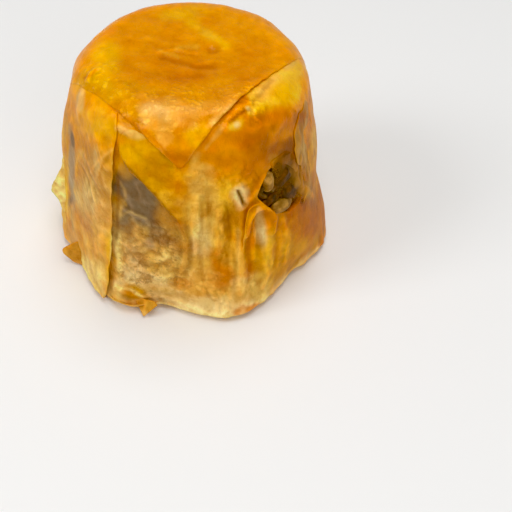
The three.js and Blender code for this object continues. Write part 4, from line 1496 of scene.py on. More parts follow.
@dataclass(frozen=True)
class PastryFinish:
    """Baked buttered pastry: painted colours, fine browning, blisters with painted glints, streaks, free
    edges darkened by toasting and painted shade, and a buttery shine.
    """

    patch: Pattern = Pattern(210, 5, 0.62, 0.5)
    fine: Pattern = Pattern(800, 4, 0.62, 0.3)
    long: Pattern = Pattern(560, 4, 0.62, 0.2, (1.0, 1.0, 0.16))
    pleat: Pattern = Pattern(250, 3, 0.55, 0.3, (1.0, 1.0, 0.16))
    comb: Pattern = Pattern(820, 3, 0.6, 0.2, (1.0, 1.0, 0.09))
    comb_axis: Triple = (0.905, 0.425, 0.0)
    comb_tilt: float = 47.2
    veins: Pattern = Pattern(260, 4, 0.6, 0.6, (1.0, 1.0, 0.45))
    vein_width: float = 0.035
    crumple: Pattern = Pattern(250, 5, 0.66, 0.3)
    crinkles: Pattern = Pattern(420, 3, 0.55, 0.8)
    crinkle_width: float = 0.045
    blister_scale: float = 560.0
    blister_dome: Pair = (0.50, 0.80)
    blister_patch: Pair = (0.38, 0.52)
    gloss_calm: float = 0.8
    patch_dark: Touch = Touch(DARKER, 0.51, 0.60, 0.36)
    patch_light: Touch = Touch(LIGHTER, 0.50, 0.58, 0.50)
    fine_dark: Touch = Touch(DARKER, 0.50, 0.66, 0.34)
    pleat_dark: Touch = Touch(DARKER, 0.50, 0.66, 0.42)
    streak_light: Touch = Touch(BRIGHT, 0.52, 0.66, 0.75)
    comb_light: Touch = Touch(BRIGHT, 0.50, 0.64, 0.7)
    toast: Colour = (132, 82, 30)
    toast_range: Pair = (0.52, 0.60)
    toast_amount: float = 0.50
    crinkle_light: float = 0.5
    vein_light: Pair = (0.08, 0.5)
    # Darker colour of free edges: partly toasted edge, partly painted shade along the edge.
    rim: Colour = (186, 112, 22)
    rim_toast_and_shade_amount: float = 0.25
    bump_strength: float = 0.6
    bump_distance: float = 0.0011
    patch_bump: float = 0.30
    fine_bump: float = 0.22
    long_bump: float = 0.40
    pleat_bump: float = 0.55
    spot_bump: float = 0.50
    comb_bump: float = 0.7
    crumple_bump: float = 0.30
    crinkle_bump: float = 0.30
    vein_bump: float = 0.12
    rough: float = 0.50
    gloss_smooth: float = 0.18
    spot_smooth: float = 0.12
    fine_rough: float = 0.16
    coat: float = 0.24
    coat_patch: Pair = (0.40, 0.56)

    def make(self) -> bpy.types.Material:
        """Builds the material."""
        g = Graph("baked_pastry")
        place = g.place()
        gloss, crackle, blister, streak, slant = (g.attribute(effect.value) for effect in Effect)
        patch, fine, long, pleat, crumple = (
            pattern.on(g, place) for pattern in (self.patch, self.fine, self.long, self.pleat, self.crumple))
        comb = self.comb.on(g, g.tilted(place, self.comb_axis, self.comb_tilt))
        vein = self.veins.on(g, place).vein(self.vein_width)
        crinkle = self.crinkles.on(g, place).vein(self.crinkle_width)
        cells = {"Vector": place, "Scale": self.blister_scale}
        dome = 1 - g.node("ShaderNodeTexVoronoi", {"feature": "SMOOTH_F1"}, cells, "Distance")
        blister_glints = dome.between(*self.blister_dome) * blister * patch.between(*self.blister_patch)
        calm = 1 - self.gloss_calm * gloss
        base = g.attribute("tint", "Color")
        base = base.touched(self.patch_dark, 1 - patch, calm)
        base = base.touched(self.patch_light, patch, calm)
        base = base.touched(self.fine_dark, 1 - fine, calm)
        base = base.touched(self.pleat_dark, 1 - pleat, streak)
        base = base.touched(self.streak_light, long, streak)
        base = base.touched(self.comb_light, comb, slant)
        toasted = crumple.between(*self.toast_range) * crackle * self.toast_amount
        base = base.mixed(colour(self.toast), toasted)
        base = base.toned(BRIGHT, crinkle * crackle * self.crinkle_light)
        everywhere, on_streaks = self.vein_light
        base = base.toned(BRIGHT, vein * (everywhere + on_streaks * streak))
        # Painted glints: the blister domes lightened as painted highlights.
        base = base.toned(BRIGHT, blister_glints)
        # Free edges darkened: partly toasting, partly painted shade along the edge.
        base = base.mixed(colour(self.rim), g.attribute("edge") * self.rim_toast_and_shade_amount)
        height = self.patch_bump * patch + self.fine_bump * fine
        height = height + (self.long_bump * long + self.pleat_bump * pleat) * streak + self.spot_bump * blister_glints
        height = height + self.comb_bump * comb * slant
        height = height + (self.crumple_bump * crumple + self.crinkle_bump * crinkle) * crackle
        height = height + self.vein_bump * vein
        rough = self.rough - self.gloss_smooth * gloss - self.spot_smooth * blister_glints
        return g.finish(
            Base_Color=base,
            Roughness=rough + self.fine_rough * (fine - 0.5),
            Coat_Weight=self.coat * gloss * patch.between(*self.coat_patch),
            Coat_Roughness=0.2,
            Specular_IOR_Level=0.26,
            Specular_Tint=(1.0, 0.66, 0.20, 1.0),
            Subsurface_Weight=0.06,
            Subsurface_Radius=(1.0, 0.45, 0.12),
            Subsurface_Scale=0.002,
            Normal=g.bump(self.bump_strength, self.bump_distance, height))


@dataclass(frozen=True)
class FilmFinish:
    """Thin pastry that lets the dark filling show through."""

    mottle: Pattern = Pattern(230, 3, 0.55)
    mottle_range: Pair = (0.40, 0.60)
    tone: Pair = (0.85, 0.3)
    least_alpha: float = 0.08
    mottle_alpha: float = 0.25

    def make(self) -> bpy.types.Material:
        """Builds the material."""
        g = Graph("thin_pastry_film")
        mottle = self.mottle.on(g, g.place())
        low, more = self.tone
        worn = (1 - self.mottle_alpha) + self.mottle_alpha * mottle.between(*self.mottle_range)
        return g.finish(
            Base_Color=g.attribute("tint", "Color").shaded(low + more * mottle),
            Roughness=0.5,
            Alpha=self.least_alpha + (1 - self.least_alpha) * g.attribute("solid") * worn,
            Specular_IOR_Level=0.12,
            Specular_Tint=(1.0, 0.75, 0.4, 1.0))


@dataclass(frozen=True)
class MorselFinish:
    """A cooked nut, fruit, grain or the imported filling: a mottled colour with a moist shine."""

    name: str
    light: Colour
    dark: Colour
    scale: float
    rough: float
    coat: float
    bump: float = 0.3
    mottle_range: Pair = (0.36, 0.64)
    fine_scale: float = 4
    fine_bump: float = 0.4
    fine_rough: float = 0.2
    bump_distance: float = 0.0006

    def make(self) -> bpy.types.Material:
        """Builds the material."""
        g = Graph(self.name)
        place = g.place()
        mottle = Pattern(self.scale, 4, 0.6, 0.6).on(g, place)
        fine = Pattern(self.scale * self.fine_scale, 3, 0.6).on(g, place)
        shades = {0: mottle.between(*self.mottle_range), 6: colour(self.dark), 7: colour(self.light)}
        return g.finish(
            Base_Color=g.node("ShaderNodeMix", {"data_type": "RGBA"}, shades, 2),
            Roughness=self.rough + self.fine_rough * (fine - 0.5),
            Coat_Weight=self.coat,
            Coat_Roughness=0.2,
            Specular_IOR_Level=0.3,
            Specular_Tint=(1.0, 0.75, 0.4, 1.0),
            Subsurface_Weight=0.1,
            Subsurface_Radius=(1.0, 0.5, 0.2),
            Subsurface_Scale=0.002,
            Normal=g.bump(self.bump, self.bump_distance, mottle + self.fine_bump * fine))


@dataclass(frozen=True)
class FloorFinish:
    """A plain pale floor."""

    tone: Colour = (242, 242, 242)
    rough: float = 0.75

    def make(self) -> bpy.types.Material:
        """Builds the material."""
        return Graph("pale_floor").finish(Base_Color=colour(self.tone), Roughness=self.rough)


@dataclass
class Crust:
    """The pastry shell, one wall of even thickness with the tear in it."""

    form: DrumForm
    thick: float = 2.6
    columns: int = 540
    step: float = 0.65
    base_rows: int = 12
    inner_columns: int = 120
    inner_step: float = 4.0
    tear: Sequence[Pair] = (
        (33.6, 51.4), (35.6, 55), (38.4, 59.2), (42.5, 61.2), (48.5, 60.6), (54, 57.4), (58.5, 50.6),
        (60.4, 43.6), (59, 38.4), (53.5, 37.4), (47.2, 38.6), (43, 41.2), (39.8, 44.4), (36.6, 48),
    )
    tear_step: float = 0.7
    tear_fray: float = 0.35
    tear_fray_size: float = 2.2
    tear_seeds: tuple[int, int] = (71, 72)
    knife_step: float = 0.8
    knife_sides: Pair = (8.0, -12.0)

    def tear_outline(self, inset: float = 0.0) -> Array:
        """The tear's outline on the wall's flat map.

        Args:
            inset: how far it is drawn in towards its centre.

        Returns:
            The closed outline's points.
        """
        outline = stepped(softened(self.form.flat_map(self.tear), rounds=2), self.tear_step)
        outline = frayed(outline, self.tear_fray, self.tear_fray_size, self.tear_seeds)
        centre = outline.mean(0)
        reach = np.linalg.norm(outline - centre, axis=1)[:, None]
        return centre + (outline - centre) * (1 - inset / reach)

    def build(self) -> bpy.types.Object:
        """Makes the shell and cuts the tear."""
        form = self.form
        wall = np.linspace(0, form.s_base, round(form.s_base / self.step) + 1)[1:]
        base = np.linspace(form.s_base, form.s_end, self.base_rows + 2)[1:-1]
        outer = self.grid(self.columns, np.concatenate([wall, base]), 0)
        inner_steps = np.linspace(0, form.s_end, round(form.s_end / self.inner_step) + 1)[1:-1]
        inner = self.grid(self.inner_columns, inner_steps, -self.thick)
        inner.points[:, 2] = np.maximum(inner.points[:, 2], self.thick)
        start = len(outer.points)
        faces = outer.faces + [tuple(start + i for i in reversed(f)) for f in inner.faces]
        shell = Mesh(np.vstack([outer.points, inner.points]), faces).to_object(Layer.CRUST.value)
        knife = slab(self.tear_outline(), self.knife_step, form.on_wall, self.knife_sides)
        return self.cut(shell, knife.to_object("tear_knife"))

    def grid(self, columns: int, steps: Array, lift: float) -> Mesh:
        """A closed drum of evenly spaced columns at one stand-off."""
        angles = np.arange(columns) * 360 / columns
        return drum_grid(self.form, angles, steps, lambda a, s: np.full(len(s), float(lift)))

    @staticmethod
    def cut(shell: bpy.types.Object, knife: bpy.types.Object) -> bpy.types.Object:
        """Takes the knife's shape out of the shell and removes the knife."""
        tool = shell.modifiers.new("tear", "BOOLEAN")
        tool.operation = "DIFFERENCE"
        tool.solver = "MANIFOLD"
        tool.object = knife
        graph = bpy.context.evaluated_depsgraph_get()
        data = bpy.data.meshes.new_from_object(shell.evaluated_get(graph))
        shell.modifiers.clear()
        shell.data = data
        data.name = shell.name
        data.shade_smooth()
        bpy.data.objects.remove(knife)
        return shell


@dataclass
class WallSheet:
    """A pastry sheet laid on the wall. Its free edge stands off, and its other sides are tucked away.

    The last seeds are added to the sheet's seed, and the levels are multiplied by it.
    """

    form: DrumForm
    layer: Layer
    edge: float
    reach: float
    seed: int
    free: Sequence[Pair]
    tucked: Sequence[Pair]
    sunk: float = -0.65
    thick: float = 0.5
    edge_thin: float = 0.45
    edge_thin_reach: float = 2.5
    step: float = 0.6
    fray: float = 0.4
    fray_size: float = 3.4
    under_cap: Pair = (66, 78)
    under_cap_share: float = 0.25
    closes_below: Pair = (-20, -10)
    closed_share: float = 0.0
    closed_sink: float = 0.35
    flutter: float = 0.45
    flutter_size: float = 8
    nicks: float = 0.25
    nick_size: float = 5
    nick_reach: float = 1.4
    up_seed: int = 50
    flutter_seed: int = 20
    nick_seed: int = 30
    fray_level: float = 9.0
    noise_level: float = 5.0

    def free_edge(self) -> Array:
        """The free edge, rounded and a little torn."""
        line = walked(softened_line(self.form.flat_map(self.free), rounds=2), self.step)
        seeds = (self.seed, self.seed + self.up_seed)
        return frayed(line, self.fray, self.fray_size, seeds, self.fray_level * self.seed)

    def build(self) -> bpy.types.Object:
        """Makes the sheet."""
        edge = self.free_edge()
        hidden = walked(np.vstack([edge[-1:], self.form.flat_map(self.tucked), edge[:1]]), self.step)[1:-1]
        mesh = slab(np.vstack([edge, hidden]), self.step, lambda p, side: self.face(p, edge, side), free=edge)
        return mesh.to_object(self.layer.value)

    def face(self, flat: Array, edge: Array, side: float) -> Array:
        """Points of the outer face (side 0) or the inner face (side 1)."""
        away = distance_to_line(flat, edge)
        near = 1 - smooth(away, 0, self.reach)
        z = self.form.profile(-flat[:, 1])[1]
        stands = self.closed_share + (1 - self.closed_share) * smooth(z, *self.closes_below)
        open_share = (1 - (1 - self.under_cap_share) * smooth(z, *self.under_cap)) * stands
        level = self.noise_level * self.seed
        moved = flat_noise(flat, self.flutter_size, self.seed + self.flutter_seed, level=level)
        flutter = 1 + self.flutter * moved
        rim = self.edge * open_share * flutter - self.closed_sink * (1 - stands)
        lift = self.sunk + (rim - self.sunk) * near
        nicks = flat_noise(flat, self.nick_size, self.seed + self.nick_seed, 1, level)
        lift = lift + self.nicks * self.edge * open_share * bell(away, self.nick_reach) * nicks
        thinned = self.edge_thin + (1 - self.edge_thin) * smooth(away, 0, self.edge_thin_reach)
        return self.form.on_wall(flat, lift - self.thick * thinned * side)


@dataclass
class TopSheet:
    """The square top sheet laid cornerwise, folded down over the shoulder."""

    form: DrumForm
    corners: Sequence[Pair] = ((0, 57), (106, 49), (190, 75), (267, 61))
    corner_round: float = 34.0
    lift: float = 0.6
    edge_lift: float = 1.15
    edge_reach: float = 9.0
    flutter: float = 0.3
    flutter_size: float = 9
    flat_corners: Sequence[float] = (100, -90, -62)
    flat_width: float = 24
    flat_lift: float = 0.05
    thick: float = 0.5
    edge_thin: float = 0.55
    edge_thin_reach: float = 2
    step: float = 0.65
    fray: float = 0.35
    fray_size: float = 4
    fray_seeds: tuple[int, int] = (81, 82)
    flutter_seed: int = 83

    def reach_at(self, angles: Array) -> Array:
        """Distance s of the sheet's edge at each angle, from the straight sides of the square."""
        towards = np.column_stack([np.sin(np.radians(angles)), np.cos(np.radians(angles))])
        turns = [(math.radians(angle), s) for angle, s in self.corners]
        corners = np.array([(s * math.sin(t), s * math.cos(t)) for t, s in turns])
        total = np.zeros(len(angles))
        for corner, after in zip(corners, np.roll(corners, -1, axis=0)):
            side = after - corner
            normal = np.array([-side[1], side[0]]) / np.linalg.norm(side)
            total += np.maximum(towards @ normal / (corner @ normal), 0) ** self.corner_round
        return total ** (-1 / self.corner_round)

    def build(self) -> bpy.types.Object:
        """Makes the sheet on a map of the top, with its centre at the top's centre."""
        angles = np.arange(0, 360, 0.5)
        round_top = around(self.reach_at(angles), angles, np.zeros(len(angles)))[:, :2]
        outline = frayed(stepped(round_top, self.step), self.fray, self.fray_size, self.fray_seeds)
        edge = closed(outline)
        mesh = slab(outline, self.step, lambda p, side: self.face(p, edge, side), free=edge)
        return mesh.to_object(Layer.CAP.value)

    def face(self, flat: Array, edge: Array, side: float) -> Array:
        """Points of the outer face (side 0) or the inner face (side 1)."""
        away = distance_to_line(flat, edge)
        flutter = 1 + self.flutter * flat_noise(flat, self.flutter_size, self.flutter_seed)
        angle = np.degrees(np.arctan2(flat[:, 0], -flat[:, 1]))
        near_corners = sum(bell(turn_between(angle, corner), self.flat_width) for corner in self.flat_corners)
        low = np.minimum(near_corners, 1)
        rim = self.edge_lift * flutter * (1 - low) + self.flat_lift * low
        lift = self.lift + (rim - self.lift) * (1 - smooth(away, 0, self.edge_reach))
        thinned = self.edge_thin + (1 - self.edge_thin) * smooth(away, 0, self.edge_thin_reach)
        s = np.hypot(flat[:, 0], flat[:, 1])
        return self.form.surface(angle, s, lift - self.thick * thinned * side)


@dataclass
class LooseFlake:
    """A thin loose piece of pastry that stands off the wall: an outline in an upright plane, curled.

    The last seeds are added to the flake's seed, and the levels are multiplied by it.
    """

    name: str
    angle: float
    turn: float
    curl: float
    seed: int
    points: Sequence[Pair]
    thick: float = 0.5
    step: float = 0.6
    fray: float = 0.3
    fray_size: float = 3
    wave: float = 0.5
    wave_size: float = 4
    up_seed: int = 5
    wave_seed: int = 9
    fray_level: float = 3.0
    wave_level: float = 7.0

    def build(self) -> bpy.types.Object:
        """Makes the flake; its points are (radius, height), and it turns about the first one."""
        outline = stepped(softened(np.array(self.points, float), rounds=2), self.step)
        seeds = (self.seed, self.seed + self.up_seed)
        outline = frayed(outline, self.fray, self.fray_size, seeds, self.fray_level * self.seed)
        mesh = slab(outline, self.step, self.face, (0.5, -0.5), closed(outline))
        mesh.points[:, 2] = np.maximum(mesh.points[:, 2], FLOOR_GAP)
        return mesh.to_object(self.name)

    def face(self, flat: Array, side: float) -> Array:
        """Points of one face, half a thickness to one side."""
        root = self.points[0][0]
        along = flat[:, 0] - root
        reach = max(p[0] for p in self.points) - root
        seed, level = self.seed + self.wave_seed, self.wave_level * self.seed
        wave = self.wave * flat_noise(flat, self.wave_size, seed, level=level)
        aside = self.curl * (along / reach) ** 2 + wave + self.thick * side
        t = math.radians(self.turn)
        out = root + along * math.cos(t) - aside * math.sin(t)
        across = along * math.sin(t) + aside * math.cos(t)
        return facing_out(out, across, flat[:, 1], self.angle)


@dataclass
class HangingPoint:
    """The small pointed flap that hangs below the turned lip, folded along its middle."""

    angle: float = -14.5
    width: float = 11.5
    tall: float = 6.8
    tip: Sequence[Pair] = ((1.2, 1.2), (0.3, 0.0), (-0.6, 1.0))
    out: float = 54.6
    clear: float = 0.4
    lean: float = 34.0
    fold: float = 0.9
    fold_width: float = 1.6
    thick: float = 0.55
    step: float = 0.5

    def build(self) -> bpy.types.Object:
        """Makes the flap: a triangle with its point down and out."""
        half = self.width / 2
        corners = np.array([(-half, self.tall), (half, self.tall), *self.tip])
        outline = stepped(softened(corners, rounds=1), self.step)
        return slab(outline, self.step, self.face, (0.5, -0.5), closed(outline)).to_object("pointed_flap")

    def face(self, flat: Array, side: float) -> Array:
        """Points of one face, half a thickness to one side."""
        up = flat[:, 1] - self.tall / 2
        fold = self.fold * np.exp(-np.abs(flat[:, 0]) / self.fold_width) + self.thick * side
        t = math.radians(self.lean)
        out = self.out - up * math.sin(t) + fold * math.cos(t)
        z = self.tall / 2 + self.clear + up * math.cos(t) + fold * math.sin(t)
        return facing_out(out, flat[:, 0], np.maximum(z, FLOOR_GAP), self.angle)


@dataclass
class TurnedLip:
    """The hem that turns out under the front sheet and makes a little pocket."""

    form: DrumForm
    start: float = -32.0
    end: float = -7.5
    foot: float = 2.4
    rim: float = 5.6
    rim_ends: float = 0.75
    rim_wave: float = 0.5
    out: float = 3.4
    out_wave: float = 0.35
    wave_size: float = 5
    wave_seed: int = 91
    root: float = -3.5
    foot_share: float = 0.5
    thick: float = 0.55
    step: float = 0.5
    length: float = 24.0
    tall: float = 6.0

    def build(self) -> bpy.types.Object:
        """Makes the lip from a flat strip of its length and height."""
        rim = np.array([(0, self.tall), (self.length, self.tall)], float)
        corners = np.array([(0, 0), (self.length, 0), *rim[::-1]], float)
        mesh = slab(stepped(corners, self.step), self.step, self.face, (0.0, -self.thick), rim)
        return mesh.to_object(Layer.LIP.value)

    def face(self, flat: Array, shift: float) -> Array:
        """Points of one face, shifted along the wall's normal."""
        u, v = flat[:, 0] / self.length, 1 - flat[:, 1] / self.tall
        swell = np.sqrt(np.sin(np.pi * np.clip(u, 0, 1)))
        wave = flat_noise(flat, self.wave_size, self.wave_seed)
        top = self.rim * (self.rim_ends + (1 - self.rim_ends) * swell) + self.rim_wave * wave * (1 - v)
        z = top + (self.foot - top) * v
        out = self.root + (self.out - self.root) * swell * (1 - self.foot_share * v)
        out = out + self.out_wave * wave * swell
        angle = self.start + (self.end - self.start) * u
        return self.form.surface(angle, self.form.s_at_height(z), out + shift)


@dataclass
class ThinFilm:
    """The see-through skin of pastry over the right part of the tear."""

    form: DrumForm
    rooted: Sequence[Pair] = ((41.6, 63), (49, 64.5), (57, 62), (63, 54), (65, 44), (63.4, 36.4))
    open_edge: Sequence[Pair] = (
        (59.5, 34.6), (57, 38.6), (52.6, 42.4), (47.4, 45.6), (44.6, 49.5), (44.2, 54), (43.4, 58.6),
    )
    lift: float = 0.12
    thick: float = 0.2
    step: float = 0.6
    fray: float = 0.4
    fray_size: float = 2.5
    fray_seeds: tuple[int, int] = (95, 96)
    wave: float = 0.25
    wave_size: float = 3.5
    wave_seed: int = 97
    fade: float = 5.0
    fade_wave: float = 1.2
    fade_size: float = 3
    fade_seed: int = 98

    def build(self) -> bpy.types.Object:
        """Makes the film and its opacity, which fades towards the open edge."""
        corners = self.form.flat_map((*self.rooted, *self.open_edge))
        outline = stepped(softened(corners, rounds=2), self.step)
        outline = frayed(outline, self.fray, self.fray_size, self.fray_seeds)
        flats: list[Array] = []

        def face(flat: Array, side: float) -> Array:
            """Points of the outer face (side 0) or the inner face (side 1)."""
            flats.append(flat)
            sag = self.wave * flat_noise(flat, self.wave_size, self.wave_seed)
            return self.form.on_wall(flat, self.lift - self.thick * side + sag)

        film = slab(outline, self.step, face).to_object("thin_film")
        flat = np.vstack(flats)
        away = distance_to_line(flat, corners[len(self.rooted):])
        wavy = away + self.fade_wave * flat_noise(flat, self.fade_size, self.fade_seed)
        write_attribute(film.data, "solid", smooth(wavy, 0, self.fade))
        return film


@dataclass(frozen=True)
class Morsel:
    """A nut or a piece of fruit lying against the filling, by half its sizes."""

    angle: float
    height: float
    long: float
    wide: float
    thick: float
    tilt: float
    out: float = 0.0


@dataclass(frozen=True)
class MorselKind:
    """All the nuts or all the fruit: their object's name, where they lie and how uneven they are."""

    name: str
    items: Sequence[Morsel]
    uneven: float
    finish: MorselFinish
    dents: float = 0.9
    small_dents: float = 0.35
    small_share: float = 0.5
    seed: int = 120
    small_seed: int = 140


@dataclass
class Filling:
    """The pilaf: packed rice inside the drum, with nuts, fruit and loose grains in the tear."""

    crust: Crust
    gap: float = 0.3
    below: float = 0.9
    inset: float = 0.55
    fine_step: float = 0.6
    fine_margin: float = 1.0
    wide_angle: float = 5.0
    wide_angle_gaps: Pair = (4, 3)
    wide_step: float = 4.0
    wide_step_gaps: Triple = (2, 3, 1)
    rise_reach: float = 0.7
    lumps: float = 0.55
    lump_size: float = 2.6
    lump_seed: int = 111
    lump_sink: float = 0.5
    ball_columns: int = 48
    ball_rows: int = 23
    grain_long: float = 6.2
    grain_wide: float = 1.7
    grain_gap: float = 2.1
    grain_inset: float = 1.6
    grain_sink: float = 0.3
    patch_step: float = 1.0
    seed: int = 20

    def core(self) -> bpy.types.Object:
        """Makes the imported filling, raised into the tear."""
        form, thick, fine = self.crust.form, self.crust.thick, self.fine_step
        hole = self.crust.tear_outline(self.inset)
        low, high = hole.min(0), hole.max(0)
        margin, wide = self.fine_margin, self.wide_step
        near = np.arange(low[0] / MM_PER_DEGREE - margin, high[0] / MM_PER_DEGREE + margin, fine)
        after, before = self.wide_angle_gaps
        angles = np.concatenate([near, np.arange(near[-1] + after, near[0] + 360 - before, self.wide_angle)])
        beside = np.arange(-high[1] - margin, -low[1] + margin, fine)
        above, below, last = self.wide_step_gaps
        over = np.arange(wide, beside[0] - above, wide)
        steps = np.concatenate([over, beside, np.arange(beside[-1] + below, form.s_end - last, wide)])

        def lift(a: Array, s: Array) -> Array:
            """Stand-off of the filling's face."""
            flat = np.column_stack([a * MM_PER_DEGREE, -s])
            within = inside(flat, hole) * smooth(distance_to_line(flat, closed(hole)), 0, self.rise_reach)
            lumps = self.lumps * flat_noise(flat, self.lump_size, self.lump_seed)
            rise = thick + self.gap - self.below - self.lump_sink + lumps
            return -thick - self.gap + rise * within

        return drum_grid(form, angles, steps, lift).to_object("pilaf_core")

    def morsels(self, kind: MorselKind) -> bpy.types.Object:
        """Makes all the nuts or all the fruit as uneven eggs in one mesh."""
        turns = np.arange(self.ball_columns) * math.tau / self.ball_columns
        falls = np.linspace(0, math.pi, self.ball_rows + 2)[1:-1]
        u, v = (each.ravel() for each in np.meshgrid(turns, falls, indexing="ij"))
        ball = np.column_stack([np.sin(v) * np.cos(u), np.sin(v) * np.sin(u), np.cos(v)])
        ball = np.vstack([ball, (0, 0, 1), (0, 0, -1)])
        ring = ring_faces(self.ball_columns, self.ball_rows)
        points, faces = [], []
        for number, item in enumerate(kind.items):
            swell = 1 + kind.uneven * noise(ball, kind.dents, kind.seed + number, 2)
            small = noise(ball, kind.small_dents, kind.small_seed + number)
            swell = swell + kind.small_share * kind.uneven * small
            long, y, wide = (ball * swell[:, None] * np.array([item.long, item.thick, item.wide])).T
            t, a = math.radians(item.tilt), math.radians(item.angle)
            x, z = long * math.cos(t) - wide * math.sin(t), long * math.sin(t) + wide * math.cos(t)
            x, y = x * math.cos(a) - y * math.sin(a), x * math.sin(a) + y * math.cos(a)
            s = self.crust.form.s_at_height(item.height)
            faces.extend(tuple(i + len(ball) * number for i in f) for f in ring)
            place = self.crust.form.surface(item.angle, s, -self.below + item.out)
            points.append(np.column_stack([x, y, z]) + place)
        return Mesh(np.vstack(points), faces).to_object(kind.name)

    def rice(self, material: bpy.types.Material) -> bpy.types.Object:
        """Scatters loose grains over the filling in the tear by Geometry Nodes, as a plain mesh."""
        outline = stepped(self.crust.tear_outline(self.inset + self.grain_inset), self.patch_step)
        flat, triangles = filled_in(outline, self.patch_step)
        points = self.crust.form.on_wall(flat, -self.below - self.grain_sink)
        patch = Mesh(points, triangles).to_object("pilaf_rice")
        tool = patch.modifiers.new("grains", "NODES")
        tool.node_group = RiceScatter().tree(material)
        given = {"Gap": self.grain_gap * MM, "Length": self.grain_long * MM, "Width": self.grain_wide * MM,
                 "Seed": self.seed}
        for item in tool.node_group.interface.items_tree:
            if item.in_out == "INPUT" and item.name in given:
                tool[item.identifier] = given[item.name]
        made = bpy.data.meshes.new_from_object(patch.evaluated_get(bpy.context.evaluated_depsgraph_get()))
        patch.modifiers.clear()
        patch.data = made
        made.shade_smooth()
        return patch


@dataclass(frozen=True)
class RiceScatter:
    """The tree that lays a grain of rice on each of many places of a face."""

    per_square_metre: float = 400000.0
    tip: float = 0.35
    sizes: Pair = (0.75, 1.12)
    rounds: int = 3

    def tree(self, material: bpy.types.Material) -> bpy.types.GeometryNodeTree:
        """Builds the tree."""
        tree = bpy.data.node_groups.new("rice_scatter", "GeometryNodeTree")
        kinds = {"Geometry": "Geometry", "Gap": "Float", "Length": "Float", "Width": "Float", "Seed": "Int"}
        for name, kind in kinds.items():
            tree.interface.new_socket(name, in_out="INPUT", socket_type=f"NodeSocket{kind}")
        tree.interface.new_socket("Geometry", in_out="OUTPUT", socket_type="NodeSocketGeometry")

        def add(kind: str, inputs: dict, **settings: object) -> bpy.types.bpy_prop_collection:
            """Adds a node with settings and inputs, which are values or sockets, and gives its outputs."""
            made = tree.nodes.new(kind)
            for key, value in settings.items():
                setattr(made, key, value)
            for key, value in inputs.items():
                if isinstance(value, bpy.types.NodeSocket):
                    tree.links.new(value, made.inputs[key])
                else:
                    made.inputs[key].default_value = value
            return made.outputs

        given = add("NodeGroupInput", {})
        scatter = add("GeometryNodeDistributePointsOnFaces", {
            "Mesh": given["Geometry"], "Distance Min": given["Gap"], "Density Max": self.per_square_metre,
            "Seed": given["Seed"]}, distribute_method="POISSON")
        whole = add("ShaderNodeCombineXYZ", {"X": given["Length"], "Y": given["Width"], "Z": given["Width"]})
        half = add("ShaderNodeVectorMath", {0: whole[0], "Scale": 0.5}, operation="SCALE")
        ball = add("GeometryNodeMeshIcoSphere", {"Radius": 1.0, "Subdivisions": self.rounds})
        grain = add("GeometryNodeTransform", {"Geometry": ball["Mesh"], "Scale": half[0]})
        turn = add("FunctionNodeRandomValue", {
            0: (-self.tip, -self.tip, 0.0), 1: (self.tip, self.tip, math.tau), "Seed": given["Seed"]},
            data_type="FLOAT_VECTOR")
        euler = add("FunctionNodeEulerToRotation", {"Euler": turn[0]})
        facing = add("FunctionNodeRotateRotation", {
            0: scatter["Rotation"], 1: euler[0]}, rotation_space="LOCAL")
        spread = add("FunctionNodeRandomValue", {2: self.sizes[0], 3: self.sizes[1]}, data_type="FLOAT")
        laid = add("GeometryNodeInstanceOnPoints", {
            "Points": scatter["Points"], "Instance": grain[0], "Rotation": facing[0], "Scale": spread[1]})
        real = add("GeometryNodeRealizeInstances", {"Geometry": laid[0]})
        dressed = add("GeometryNodeSetMaterial", {"Geometry": real[0], "Material": material})
        add("NodeGroupOutput", {"Geometry": dressed[0]})
        return tree


@dataclass(frozen=True)
class SoftLight:
    """One large soft light, by its direction from the drum; distance and size are in metres."""

    name: str
    azimuth: float
    elevation: float
    distance: float
    size: float
    watts: float
    tone: Triple = (1.0, 1.0, 1.0)

    def add(self, aim: Vector) -> None:
        """Adds the light to the scene, turned to a place in metres."""
        data = bpy.data.lights.new(self.name, "AREA")
        data.shape = "SQUARE"
        data.size = self.size
        data.energy = self.watts
        data.color = self.tone
        a, e = math.radians(self.azimuth), math.radians(self.elevation)
        back = Vector((math.sin(a) * math.cos(e), -math.cos(a) * math.cos(e), math.sin(e)))
        turn = back.to_track_quat("Z", "Y").to_matrix().to_4x4()
        link_object(self.name, data).matrix_world = Matrix.Translation(back * self.distance + aim) @ turn


WARM = (1.0, 0.985, 0.96)


@dataclass(frozen=True)
class Studio:
    """Plain pale floor and soft studio light; lengths are metres."""

    lights: Sequence[SoftLight] = (
        SoftLight("overhead_softbox", 10, 70, 1.50, 0.70, 7.5, WARM),
        SoftLight("back_softbox", 170, 72, 1.50, 0.70, 5.5, WARM),
        SoftLight("left_softbox", -65, 38, 1.60, 0.60, 7.4),
        SoftLight("front_fill", 25, 30, 1.80, 1.30, 5.6),
    )
    aim_height: float = 0.045
    sky: float = 0.27
    sky_tone: tuple[float, ...] = (0.985, 0.995, 1.0, 1.0)
    black: Triple = (0.006, 0.006, 0.014)
    floor_half: float = 3.0

    def build(self) -> None:
        """Makes the floor, the lights and the world, and sets how colours are shown."""
        half = self.floor_half
        corners = [(-half, -half, 0), (half, -half, 0), (half, half, 0), (-half, half, 0)]
        data = bpy.data.meshes.new("floor")
        data.from_pydata(corners, [], [(0, 1, 2, 3)])
        data.materials.append(FloorFinish().make())
        floor = link_object("floor", data)
        for light in self.lights:
            light.add(Vector((0, 0, self.aim_height)))
        world = bpy.data.worlds.new("soft_sky")
        world.use_nodes = True
        shade = world.node_tree.nodes["Background"]
        shade.inputs["Color"].default_value = self.sky_tone
        shade.inputs["Strength"].default_value = self.sky
        bpy.context.scene.world = world
        shown = bpy.context.scene.view_settings
        shown.view_transform = "Standard"
        shown.use_curve_mapping = True
        shown.curve_mapping.black_level = self.black


